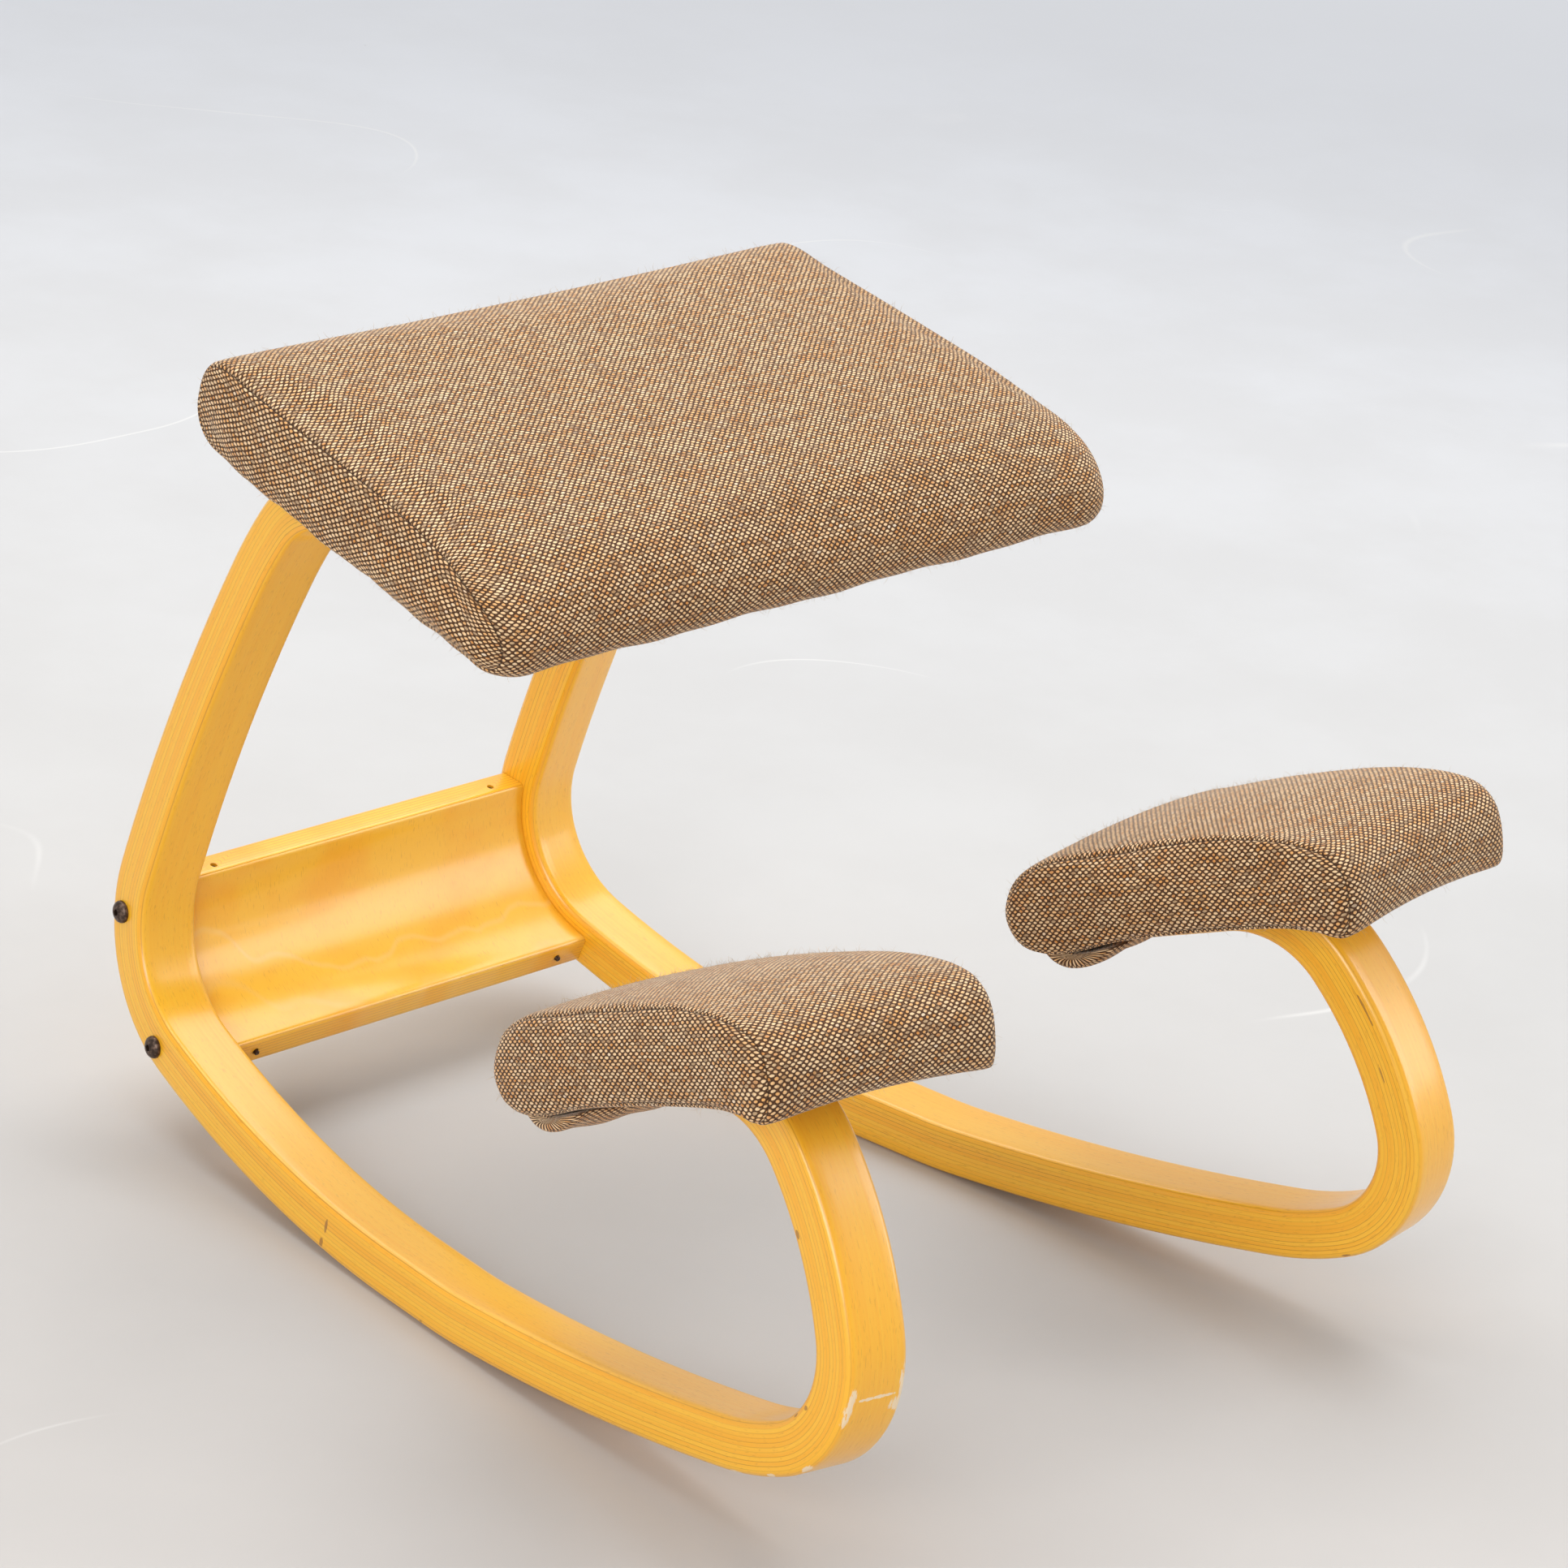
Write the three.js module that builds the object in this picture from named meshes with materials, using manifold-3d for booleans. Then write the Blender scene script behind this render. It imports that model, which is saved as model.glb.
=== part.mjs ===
// Rocking kneeling chair: two laminated beech runners, a curved cross panel, a seat cushion and two knee pads.
// Millimetres, +Z up, front of the chair towards -Y, standing on the floor with the origin under its middle.
// Left means -X and right means +X.
import * as THREE from "three";
import { mergeVertices } from "three/addons/utils/BufferGeometryUtils.js";
import Module from "manifold-3d";

const wasm = await Module();
wasm.setup();

// Runners: section, stance and the way their planes stand
const stance = 418; // across the outer faces where the runners touch the floor
const runnerWide = 39;
const runnerThick = 29;
const runnerEdge = 4.5;
const runnerEndEase = 1.5; // of the edges round a runner's two ends
const splayDegrees = 6.6; // each runner toes out towards the front
const leanDegrees = 2.3; // each runner leans in towards the top

// Centreline of a runner, forwards from the floor contact
const restFrontLength = 10;
const rockerRadius = 350;
const rockerTurn = 4.4;
const rockerFrontRadius = 1470;
const rockerFrontTurn = 8.6;
const toeEaseRadius = 181;
const toeEaseTurn = 15;
const toeRadius = 59;
const toeTurn = 83.4;
const loopFrontRadius = 207;
const loopFrontTurn = 26.8;
const loopTopRadius = 69;
const padSlopeDegrees = 23.5; // the pad rail falls towards the rear
const padRailLength = 56;

// Centreline of a runner, rearwards from the floor contact
const restRearLength = 28;
const riseRadius = 655;
const riseTurn = 19.6;
const rearBendRadius = 78;
const rearBendTurn = 84.4;
const legRadius = 1165;
const legTurn = 10.7;
const legTopRadius = 300;
const legTopTurn = 7.4;
const topBendRadius = 60;
const seatSlopeDegrees = 10.1; // the seat rail falls towards the front
const seatRailLength = 128;

// Cross panel, moulded to the runners' rear bend
const panelThick = 18;
const panelSetback = 9; // from the runners' inner curve
const panelLowerStop = 243; // along the centreline from the floor contact
const panelLength = 117;
const panelEdge = 3;
const panelBoltEdge = 19; // from the panel's long edges to the bolts

// Fasteners
const boltShank = 6;
const boltHead = 13;
const boltHeadHigh = 4.2;
const hexSocket = 4;
const hexSocketDeep = 2.2;
const boreClearance = 0.3;
const headClearance = 0.6;
const sleeveDiameter = 10;
const sleeveLength = 24;
const sleeveBoltEntry = 20; // of the bolt into the sleeve
const pinDiameter = 4.6;
const pinSetback = 21; // from the runner's inner face to the pin
const spotFaceDeep = 2;
const teeNutFlange = 19;
const teeNutFlangeThick = 1.6;
const teeNutBarrel = 9;

// Seat cushion, in the plane of the two seat rails
const seatFrontWide = 481;
const seatRearWide = 446;
const seatDeep = 274;
const seatOverhang = 86; // behind the start of the seat rail
const seatThick = 51;
const seatCrown = 8;
const seatCornerRadius = 26;
const seatFrontRadius = 20;
const seatRearRadius = 10;
const seatSeamRadius = 6;
const seatBoardThick = 12;
const seatBoardInset = 9;
const seatHem = 34;
const seatBoltInset = 24; // from the ends of the rail's straight stretch

// Knee pads, in the plane of the pad rails
const padLong = 240;
const padThick = 49;
const padWide = 161;
const padCrown = 7;
const padCornerRadius = 20;
const padSeamRadius = 6;
const padForward = 161; // from the rail's middle to the pad's front
const padShellThick = 8;
const padShellRadius = 400;
const padShellPeak = 20; // in front of the rail's middle
const padShellFront = 140;
const padShellRear = 30;
const padShellHookRadius = 26;
const padShellHookTurn = 45;
const padSkirt = 16;
const padBoltPitch = 30;

// Cloth, fits and fineness
const clothThick = 1.5;
const dustClothThick = 1.2;
const fit = 0.3;
const facetSagitta = 0.2;
const weld = 0.001;
const overrun = 60; // of a cutting solid past the piece it cuts
const roundSides = 10;

// Side outline of a knee pad: shares of its length from the front and of its thickness above the rail
const padOutlineShares = [
  [0.031, -0.52], [0.004, -0.29], [0.0, 0.12], [0.031, 0.36], [0.096, 0.51],
  [0.26, 0.64], [0.48, 0.665], [0.7, 0.62], [0.86, 0.56], [0.955, 0.36],
  [1.0, -0.02], [0.972, -0.42], [0.895, -0.66], [0.8, -0.66], [0.72, -0.53],
  [0.63, -0.4], [0.455, -0.36], [0.235, -0.38], [0.105, -0.46],
];
const padOutlinePoints = 26;

const X_AXIS = new THREE.Vector3(1, 0, 0);
const Y_AXIS = new THREE.Vector3(0, 1, 0);
const Z_AXIS = new THREE.Vector3(0, 0, 1);
const radians = (degrees) => THREE.MathUtils.degToRad(degrees);

// Materials
const finish = (name, color, roughness, metalness = 0) =>
  new THREE.MeshStandardMaterial({ name, color, roughness, metalness });
const beech = () => finish("lacquered_beech", 0xe0a23c, 0.35);
const panelPly = () => finish("panel_plywood", 0xdf9a35, 0.35);
const rawPly = () => finish("birch_board", 0xcaa878, 0.7);
const shellPly = () => finish("pad_shell_plywood", 0xb98d57, 0.6);
const foam = () => finish("foam", 0xd9cfb4, 0.9);
const tweed = () => finish("tweed", 0x8a6a4c, 0.95);
const dustCloth = () => finish("dust_cloth", 0x2c2b29, 0.9);
const bronzedSteel = () => finish("bronzed_steel", 0x2a2420, 0.4, 0.8);
const plainSteel = () => finish("zinc_steel", 0x9a9c9e, 0.4, 0.9);

// Solids from closed meshes, and back

function toSolid(geometry) {
  const bare = new THREE.BufferGeometry();
  bare.setAttribute("position", geometry.getAttribute("position").clone());
  if (geometry.index) bare.setIndex(geometry.index.clone());
  const merged = mergeVertices(bare, weld);
  const mesh = new wasm.Mesh({
    numProp: 3,
    vertProperties: new Float32Array(merged.getAttribute("position").array),
    triVerts: new Uint32Array(merged.index.array),
  });
  return new wasm.Manifold(mesh);
}

function toGeometry(solid) {
  const mesh = solid.getMesh();
  const stride = mesh.numProp;
  const places = new Float32Array(mesh.numVert * 3);
  for (let i = 0; i < mesh.numVert; i++) {
    places.set(mesh.vertProperties.subarray(i * stride, i * stride + 3), i * 3);
  }
  const geometry = new THREE.BufferGeometry();
  geometry.setAttribute("position", new THREE.BufferAttribute(places, 3));
  geometry.setIndex(new THREE.BufferAttribute(new Uint32Array(mesh.triVerts), 1));
  return geometry;
}

function cutAway(geometry, tools) {
  const solid = tools.reduce((left, tool) => left.subtract(toSolid(tool)), toSolid(geometry));
  return toGeometry(solid);
}

function moved(geometry, matrix) {
  return geometry.clone().applyMatrix4(matrix);
}

// A round or many-sided rod between two points
function rod(start, end, diameter, sides = roundSides) {
  const axis = new THREE.Vector3().subVectors(end, start);
  const length = axis.length();
  const geometry = new THREE.CylinderGeometry(diameter / 2, diameter / 2, length, sides);
  geometry.translate(0, length / 2, 0);
  geometry.applyQuaternion(new THREE.Quaternion().setFromUnitVectors(Y_AXIS, axis.normalize()));
  return geometry.translate(start.x, start.y, start.z);
}

// A box given by its lowest and highest corners
function block(low, high) {
  const size = new THREE.Vector3().subVectors(high, low);
  const middle = new THREE.Vector3().addVectors(low, high).multiplyScalar(0.5);
  return new THREE.BoxGeometry(size.x, size.y, size.z).translate(middle.x, middle.y, middle.z);
}

// A closed skin over rings of equally many points, with a fan at each end
function skin(rings) {
  const count = rings[0].length;
  const places = rings.flat().flatMap((point) => [point.x, point.y, point.z]);
  const index = [];
  for (let r = 0; r + 1 < rings.length; r++) {
    for (let i = 0; i < count; i++) {
      const next = (i + 1) % count;
      const here = r * count;
      const there = here + count;
      index.push(here + i, here + next, there + next, here + i, there + next, there + i);
    }
  }
  const last = (rings.length - 1) * count;
  for (const [a, b, c] of capTriangles(rings[0])) index.push(c, b, a);
  for (const [a, b, c] of capTriangles(rings[rings.length - 1])) index.push(last + a, last + b, last + c);
  const geometry = new THREE.BufferGeometry();
  geometry.setAttribute("position", new THREE.Float32BufferAttribute(places, 3));
  geometry.setIndex(index);
  return facingOut(geometry);
}

// Triangles over a flat ring, turned the way the ring runs
function capTriangles(ring) {
  const normal = new THREE.Vector3();
  for (let i = 0; i < ring.length; i++) {
    normal.add(new THREE.Vector3().crossVectors(ring[i], ring[(i + 1) % ring.length]));
  }
  const turn = new THREE.Quaternion().setFromUnitVectors(normal.normalize(), Z_AXIS);
  const flat = ring.map((point) => {
    const turned = point.clone().applyQuaternion(turn);
    return new THREE.Vector2(turned.x, turned.y);
  });
  return THREE.ShapeUtils.triangulateShape(flat, []);
}

function facingOut(geometry) {
  const at = geometry.getAttribute("position");
  const index = geometry.index.array;
  const corner = [new THREE.Vector3(), new THREE.Vector3(), new THREE.Vector3()];
  let volume = 0;
  for (let i = 0; i < index.length; i += 3) {
    corner.forEach((point, k) => point.fromBufferAttribute(at, index[i + k]));
    volume += corner[0].dot(corner[1].clone().cross(corner[2]));
  }
  if (volume < 0) {
    for (let i = 0; i < index.length; i += 3) {
      [index[i + 1], index[i + 2]] = [index[i + 2], index[i + 1]];
    }
  }
  return geometry;
}

// The runner's path: stations in its own upright plane, y rearwards and z up

const stepOf = (radius) => 2 * Math.acos(1 - facetSagitta / radius);

// Walks from a place along arcs {radius, turn} and straights {length}; side +1 turns left, -1 right
function walk(place, heading, side, legs) {
  const stations = [{ y: place.y, z: place.z, heading, run: 0 }];
  let here = stations[0];
  const advance = (step) => {
    here = step;
    stations.push(here);
  };
  for (const leg of legs) {
    if (leg.length) {
      const y = here.y + leg.length * Math.cos(here.heading);
      const z = here.z + leg.length * Math.sin(here.heading);
      advance({ y, z, heading: here.heading, run: here.run + leg.length });
      continue;
    }
    const turn = radians(leg.turn);
    const steps = Math.max(1, Math.ceil(turn / stepOf(leg.radius)));
    const step = turn / steps;
    for (let i = 0; i < steps; i++) {
      const chord = 2 * leg.radius * Math.sin(step / 2);
      const towards = here.heading + (side * step) / 2;
      const y = here.y + chord * Math.cos(towards);
      const z = here.z + chord * Math.sin(towards);
      advance({ y, z, heading: here.heading + side * step, run: here.run + leg.radius * step });
    }
  }
  return stations;
}

const frontLegs = [
  { length: restFrontLength },
  { radius: rockerRadius, turn: rockerTurn },
  { radius: rockerFrontRadius, turn: rockerFrontTurn },
  { radius: toeEaseRadius, turn: toeEaseTurn },
  { radius: toeRadius, turn: toeTurn },
  { radius: loopFrontRadius, turn: loopFrontTurn },
];
const loopTopTurn =
  180 + padSlopeDegrees - rockerTurn - rockerFrontTurn - toeEaseTurn - toeTurn - loopFrontTurn;
frontLegs.push({ radius: loopTopRadius, turn: loopTopTurn }, { length: padRailLength });

const rearLegs = [
  { length: restRearLength },
  { radius: riseRadius, turn: riseTurn },
  { radius: rearBendRadius, turn: rearBendTurn },
  { radius: legRadius, turn: legTurn },
  { radius: legTopRadius, turn: legTopTurn },
];
const topBendTurn = 180 + seatSlopeDegrees - riseTurn - rearBendTurn - legTurn - legTopTurn;
rearLegs.push({ radius: topBendRadius, turn: topBendTurn }, { length: seatRailLength });

const contact = { y: 0, z: runnerThick / 2 };
const frontPath = walk(contact, Math.PI, -1, frontLegs);
const rearPath = walk(contact, 0, 1, rearLegs);

// A point of the runner's section: x across from the outer face, out from the centreline to the outer curve
function sectionPoint(station, forwards, x, out) {
  const side = forwards ? 1 : -1;
  const y = station.y - side * out * Math.sin(station.heading);
  const z = station.z + side * out * Math.cos(station.heading);
  return new THREE.Vector3(x, y, z);
}

// Where the runners stand, as matrices from their own frames to the chair's
const leftUpright = new THREE.Matrix4()
  .makeTranslation(-stance / 2, 0, 0)
  .multiply(new THREE.Matrix4().makeRotationZ(-radians(splayDegrees)));
const leftLean = leftUpright.clone().multiply(new THREE.Matrix4().makeRotationY(radians(leanDegrees)));
const chairToRunner = leftLean.clone().invert();

// Rounded rectangle of the section, as pairs of x and out
function runnerSection(shrink) {
  const points = [];
  const halfX = runnerWide / 2 - shrink;
  const halfOut = runnerThick / 2 - shrink;
  const corners = [[1, 1], [-1, 1], [-1, -1], [1, -1]];
  const cornerSteps = 2;
  corners.forEach(([sx, so], quarter) => {
    for (let i = 0; i <= cornerSteps; i++) {
      const angle = ((quarter + i / cornerSteps) * Math.PI) / 2;
      const x = runnerWide / 2 + sx * (halfX - runnerEdge) + runnerEdge * Math.cos(angle);
      points.push([x, so * (halfOut - runnerEdge) + runnerEdge * Math.sin(angle)]);
    }
  });
  return points;
}

function runnerBody() {
  const full = runnerSection(0);
  const eased = runnerSection(runnerEndEase);
  const ring = (section, station, forwards) =>
    section.map(([x, out]) => sectionPoint(station, forwards, x, out));
  const setIn = (path) => {
    const last = path[path.length - 1];
    const y = last.y - runnerEndEase * Math.cos(last.heading);
    const z = last.z - runnerEndEase * Math.sin(last.heading);
    return { ...last, y, z };
  };
  const rear = rearPath.slice(1, -1).reverse().map((station) => ring(full, station, false));
  const front = frontPath.slice(1, -1).map((station) => ring(full, station, true));
  const seatEnd = rearPath[rearPath.length - 1];
  const padEnd = frontPath[frontPath.length - 1];
  return skin([
    ring(eased, seatEnd, false),
    ring(full, setIn(rearPath), false),
    ...rear,
    ...front,
    ring(full, setIn(frontPath), true),
    ring(eased, padEnd, true),
  ]);
}

// Seat frame: on the rails' top surface, y rearwards up the slope, z square to the board
const railTop = (station) =>
  sectionPoint(station, false, runnerWide / 2, runnerThick / 2).applyMatrix4(leftLean);
const railStart = railTop(rearPath[rearPath.length - 2]);
const railEnd = railTop(rearPath[rearPath.length - 1]);
const seatTilt = Math.atan2(railStart.z - railEnd.z, railStart.y - railEnd.y);
const seatPlace = new THREE.Matrix4()
  .makeTranslation(0, railStart.y, railStart.z)
  .multiply(new THREE.Matrix4().makeRotationX(seatTilt));
const chairToSeat = seatPlace.clone().invert();

// Pad frame: on the middle of the left pad rail, y rearwards down the slope, z square to the shell
const padRailEnd = frontPath[frontPath.length - 1];
const padRailStart = frontPath[frontPath.length - 2];
const padRailMiddle = {
  y: (padRailStart.y + padRailEnd.y) / 2,
  z: (padRailStart.z + padRailEnd.z) / 2,
  heading: padRailEnd.heading,
};
const padSeat = sectionPoint(padRailMiddle, true, runnerWide / 2, runnerThick / 2)
  .applyMatrix4(leftLean)
  .applyMatrix4(leftUpright.clone().invert());
const padInUpright = new THREE.Matrix4()
  .makeTranslation(padSeat.x, padSeat.y, padSeat.z)
  .multiply(new THREE.Matrix4().makeRotationX(-radians(padSlopeDegrees)));
const leftPad = leftUpright.clone().multiply(padInUpright);

// Bolts

// Button-head bolt along +x with its bearing face at 0 and its head on the -x side
function boltBody(length) {
  const headRadius = boltHead / 2;
  const profile = [
    new THREE.Vector2(0, length),
    new THREE.Vector2(boltShank / 2, length),
    new THREE.Vector2(boltShank / 2, 0),
    new THREE.Vector2(headRadius, 0),
  ];
  const domeSteps = 2;
  for (let i = 1; i <= domeSteps; i++) {
    const angle = (i / (domeSteps + 1)) * (Math.PI / 2);
    profile.push(new THREE.Vector2(headRadius * Math.cos(angle), -boltHeadHigh * Math.sin(angle)));
  }
  profile.push(new THREE.Vector2(0, -boltHeadHigh));
  const turned = new THREE.LatheGeometry(profile.reverse(), roundSides).rotateZ(-Math.PI / 2);
  const hexSides = 6;
  const mouth = new THREE.Vector3(-boltHeadHigh - hexSocketDeep, 0, 0);
  const bottom = new THREE.Vector3(-boltHeadHigh + hexSocketDeep, 0, 0);
  return cutAway(turned, [rod(mouth, bottom, hexSocket / Math.cos(Math.PI / hexSides), hexSides)]);
}

// Ring round the x axis from 0 to its length
function sleeveBody() {
  const outer = sleeveDiameter / 2;
  const inner = boltShank / 2 + boreClearance;
  const profile = [
    new THREE.Vector2(inner, 0),
    new THREE.Vector2(outer, 0),
    new THREE.Vector2(outer, sleeveLength),
    new THREE.Vector2(inner, sleeveLength),
    new THREE.Vector2(inner, 0),
  ];
  return new THREE.LatheGeometry(profile, roundSides).rotateZ(-Math.PI / 2);
}

// Tee nut round the z axis: barrel up to 0, flange above it
function teeNutBody(barrelLength) {
  const inner = boltShank / 2 + boreClearance;
  const barrel = teeNutBarrel / 2;
  const profile = [
    new THREE.Vector2(inner, -barrelLength),
    new THREE.Vector2(barrel, -barrelLength),
    new THREE.Vector2(barrel, 0),
    new THREE.Vector2(teeNutFlange / 2, 0),
    new THREE.Vector2(teeNutFlange / 2, teeNutFlangeThick),
    new THREE.Vector2(inner, teeNutFlangeThick),
    new THREE.Vector2(inner, -barrelLength),
  ];
  return new THREE.LatheGeometry(profile, roundSides).rotateX(Math.PI / 2);
}

// Places of the two panel bolts in the runner's plane
const panelFrontOut = panelSetback - runnerThick / 2;
const panelBackOut = panelFrontOut + panelThick;
const panelMiddleOut = (panelFrontOut + panelBackOut) / 2;
function alongRear(run) {
  const next = rearPath.findIndex((station) => station.run >= run);
  const a = rearPath[next - 1];
  const b = rearPath[next];
  const share = (run - a.run) / (b.run - a.run);
  const mix = (key) => a[key] + (b[key] - a[key]) * share;
  return { y: mix("y"), z: mix("z"), heading: mix("heading"), run };
}
const panelBoltRuns = [panelLowerStop + panelBoltEdge, panelLowerStop + panelLength - panelBoltEdge];
const panelBoltSpot = (run, x) => sectionPoint(alongRear(run), false, x, panelMiddleOut);
const panelBoltLength = runnerWide + sleeveBoltEntry;

// Cross panel: the rear bend's own curve, drawn out across the chair and trimmed to the runners' inner faces

function panelOutline() {
  const stop = panelLowerStop + panelLength;
  const inside = rearPath.filter(
    (station) => station.run > panelLowerStop + panelEdge && station.run < stop - panelEdge,
  );
  const at = (station, out) => {
    const point = sectionPoint(station, false, runnerWide, out).applyMatrix4(leftLean);
    return new THREE.Vector2(point.y, point.z);
  };
  const eased = panelEdge * (1 - Math.SQRT1_2);
  const rounding = (run, inward, face, sense) => [
    at(alongRear(run + inward * panelEdge), face),
    at(alongRear(run + inward * eased), face - sense * eased),
    at(alongRear(run), face - sense * panelEdge),
  ];
  return [
    ...rounding(panelLowerStop, 1, panelBackOut, 1).reverse(),
    ...inside.map((station) => at(station, panelBackOut)),
    ...rounding(stop, -1, panelBackOut, 1),
    ...rounding(stop, -1, panelFrontOut, -1).reverse(),
    ...[...inside].reverse().map((station) => at(station, panelFrontOut)),
    ...rounding(panelLowerStop, 1, panelFrontOut, -1),
  ];
}

const mirrorX = new THREE.Matrix4().makeScale(-1, 1, 1);

// A cutting tool and its mirror image, which has its faces turned back outwards
function both(tool) {
  const other = moved(tool.index ? tool : mergeVertices(tool, weld), mirrorX);
  return [tool, facingOut(other)];
}

const pinRun = (upper) => (upper ? panelLowerStop + panelLength : panelLowerStop);

// The two ends of a locking pin: at the panel's edge, and short of the sleeve
function pinEnds(upper, extra) {
  const run = panelBoltRuns[upper ? 1 : 0];
  const x = runnerWide + pinSetback;
  const edge = panelBoltSpot(pinRun(upper), x);
  const sleeve = panelBoltSpot(run, x);
  const outwards = new THREE.Vector3().subVectors(edge, sleeve).normalize();
  const inner = sleeve.clone().addScaledVector(outwards, sleeveDiameter / 2 + fit);
  const outer = edge.clone().addScaledVector(outwards, extra);
  return [inner, outer];
}

function panelBody() {
  const shape = new THREE.Shape(panelOutline());
  const blank = new THREE.ExtrudeGeometry(shape, { depth: stance, bevelEnabled: false });
  blank.applyMatrix4(new THREE.Matrix4().makeBasis(Y_AXIS, Z_AXIS, X_AXIS));
  blank.translate(-stance / 2, 0, 0);
  const reach = 2 * stance;
  const trim = block(
    new THREE.Vector3(-reach, -reach, -reach),
    new THREE.Vector3(runnerWide + fit, reach, reach),
  );
  const tools = [trim];
  const sleeveBore = sleeveDiameter + 2 * boreClearance;
  for (const upper of [false, true]) {
    const run = panelBoltRuns[upper ? 1 : 0];
    const deep = runnerWide + fit + sleeveLength + fit;
    tools.push(rod(panelBoltSpot(run, 0), panelBoltSpot(run, deep), sleeveBore));
    const [inner, outer] = pinEnds(upper, panelEdge);
    const inwards = new THREE.Vector3().subVectors(inner, outer).normalize();
    const start = inner.clone().addScaledVector(inwards, sleeveDiameter / 2);
    tools.push(rod(start, outer, pinDiameter + 2 * boreClearance));
  }
  return cutAway(blank, tools.map((tool) => moved(tool, leftLean)).flatMap(both));
}

// Soft slabs: a side outline drawn across the width, with rounded ends, a seam edge and a crown

// Half widths, insets and crown at one share of the half width
function endInset(share, half, radius) {
  const over = Math.abs(share) * half - (half - radius);
  return over > 0 ? radius - Math.sqrt(Math.max(0, radius * radius - over * over)) : 0;
}

function ringShares(half, seamRadius, cornerRadius) {
  const inner = 1 - cornerRadius / half;
  const shares = [0, inner / 2, inner];
  const roundSteps = 2;
  for (let i = 1; i <= roundSteps; i++) {
    const angle = (i / roundSteps) * (Math.PI / 2);
    shares.push(1 - (cornerRadius * (1 - Math.sin(angle))) / half);
  }
  const seam = 1 - seamRadius / half;
  const outerRings = shares.filter((share) => share < seam);
  const seamSteps = 2;
  for (let i = 0; i <= seamSteps; i++) {
    const angle = (i / seamSteps) * (Math.PI / 2);
    outerRings.push(1 - (seamRadius * (1 - Math.sin(angle))) / half);
  }
  return [...outerRings.slice(1).reverse().map((share) => -share), ...outerRings];
}

// outline: points {y, z, lift}; sizes: half width at a y, radii, crown and how far the whole slab is set in
function slab(outline, sizes) {
  const { halfAt, halfMean, cornerRadius, seamRadius, crown, middleY, spanY } = sizes;
  const shares = ringShares(halfMean, seamRadius, cornerRadius);
  const rings = shares.map((share) => {
    const plan = endInset(share, halfMean, cornerRadius);
    const seam = endInset(share, halfMean, seamRadius);
    return outline.map((point) => {
      const y = middleY + (point.y - middleY) * (1 - (2 * plan) / spanY);
      const lift = crown * point.lift * (1 - share * share);
      const z = point.z - point.sink * seam + lift;
      return new THREE.Vector3(share * halfAt(point.y), y, z);
    });
  });
  return skin(rings);
}

// Seat

function seatOutline(inset) {
  const front = seatOverhang - seatDeep + inset;
  const rear = seatOverhang - inset;
  const low = inset;
  const high = seatThick - inset;
  const frontRound = seatFrontRadius - inset;
  const rearRound = seatRearRadius - inset;
  const small = seatSeamRadius;
  const corners = [
    { y: front + small, z: low + small, radius: small, from: 1 },
    { y: rear - small, z: low + small, radius: small, from: 1.5 },
    { y: rear - rearRound, z: high - rearRound, radius: rearRound, from: 0 },
    { y: front + frontRound, z: high - frontRound, radius: frontRound, from: 0.5 },
  ];
  const cornerSteps = 3;
  const points = [];
  for (const corner of corners) {
    for (let i = 0; i <= cornerSteps; i++) {
      const angle = (corner.from + (i / cornerSteps) * 0.5) * Math.PI;
      points.push({
        y: corner.y + corner.radius * Math.cos(angle),
        z: corner.z + corner.radius * Math.sin(angle),
      });
    }
  }
  const top = { from: rear - rearRound, to: front + frontRound };
  const topStart = (corners.length - 1) * (cornerSteps + 1);
  const topSteps = 6;
  for (let i = 1; i < topSteps; i++) {
    const spot = { y: top.from + ((top.to - top.from) * i) / topSteps, z: high };
    points.splice(topStart + i - 1, 0, spot);
  }
  const middle = (front + rear) / 2;
  const half = (rear - front) / 2;
  return points.map(({ y, z }) => {
    const along = (y - middle) / half;
    const height = (z - low) / (high - low);
    return { y, z, lift: Math.max(0, height) ** 3 * (1 - along * along), sink: 2 * height - 1 };
  });
}

function seatSlab(inset) {
  const front = seatOverhang - seatDeep;
  const halfAt = (y) =>
    (seatFrontWide + ((seatRearWide - seatFrontWide) * (y - front)) / seatDeep) / 2 - inset;
  return slab(seatOutline(inset), {
    halfAt,
    halfMean: (seatFrontWide + seatRearWide) / 4 - inset,
    cornerRadius: seatCornerRadius - inset,
    seamRadius: seatSeamRadius,
    crown: seatCrown,
    middleY: seatOverhang - seatDeep / 2,
    spanY: seatDeep - 2 * inset,
  });
}

// A flat plate with the seat's plan, set in from its edge
function seatPlate(inset, bottom, thick) {
  const front = seatOverhang - seatDeep + inset;
  const rear = seatOverhang - inset;
  const frontHalf = seatFrontWide / 2 - inset;
  const rearHalf = seatRearWide / 2 - inset;
  const radius = Math.max(seatCornerRadius - inset, seatSeamRadius);
  const turn = Math.atan2(frontHalf - rearHalf, rear - front);
  const corners = [
    { x: frontHalf - radius, y: front + radius, from: -Math.PI / 2, to: turn },
    { x: rearHalf - radius, y: rear - radius, from: turn, to: Math.PI / 2 },
    { x: radius - rearHalf, y: rear - radius, from: Math.PI / 2, to: Math.PI - turn },
    { x: radius - frontHalf, y: front + radius, from: Math.PI - turn, to: (Math.PI * 3) / 2 },
  ];
  const cornerSteps = 4;
  const points = corners.flatMap(({ x, y, from, to }) =>
    Array.from({ length: cornerSteps + 1 }, (_, i) => {
      const angle = from + ((to - from) * i) / cornerSteps;
      return new THREE.Vector2(x + radius * Math.cos(angle), y + radius * Math.sin(angle));
    }),
  );
  const plate = new THREE.ExtrudeGeometry(new THREE.Shape(points), { depth: thick, bevelEnabled: false });
  return plate.translate(0, 0, bottom);
}

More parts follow.
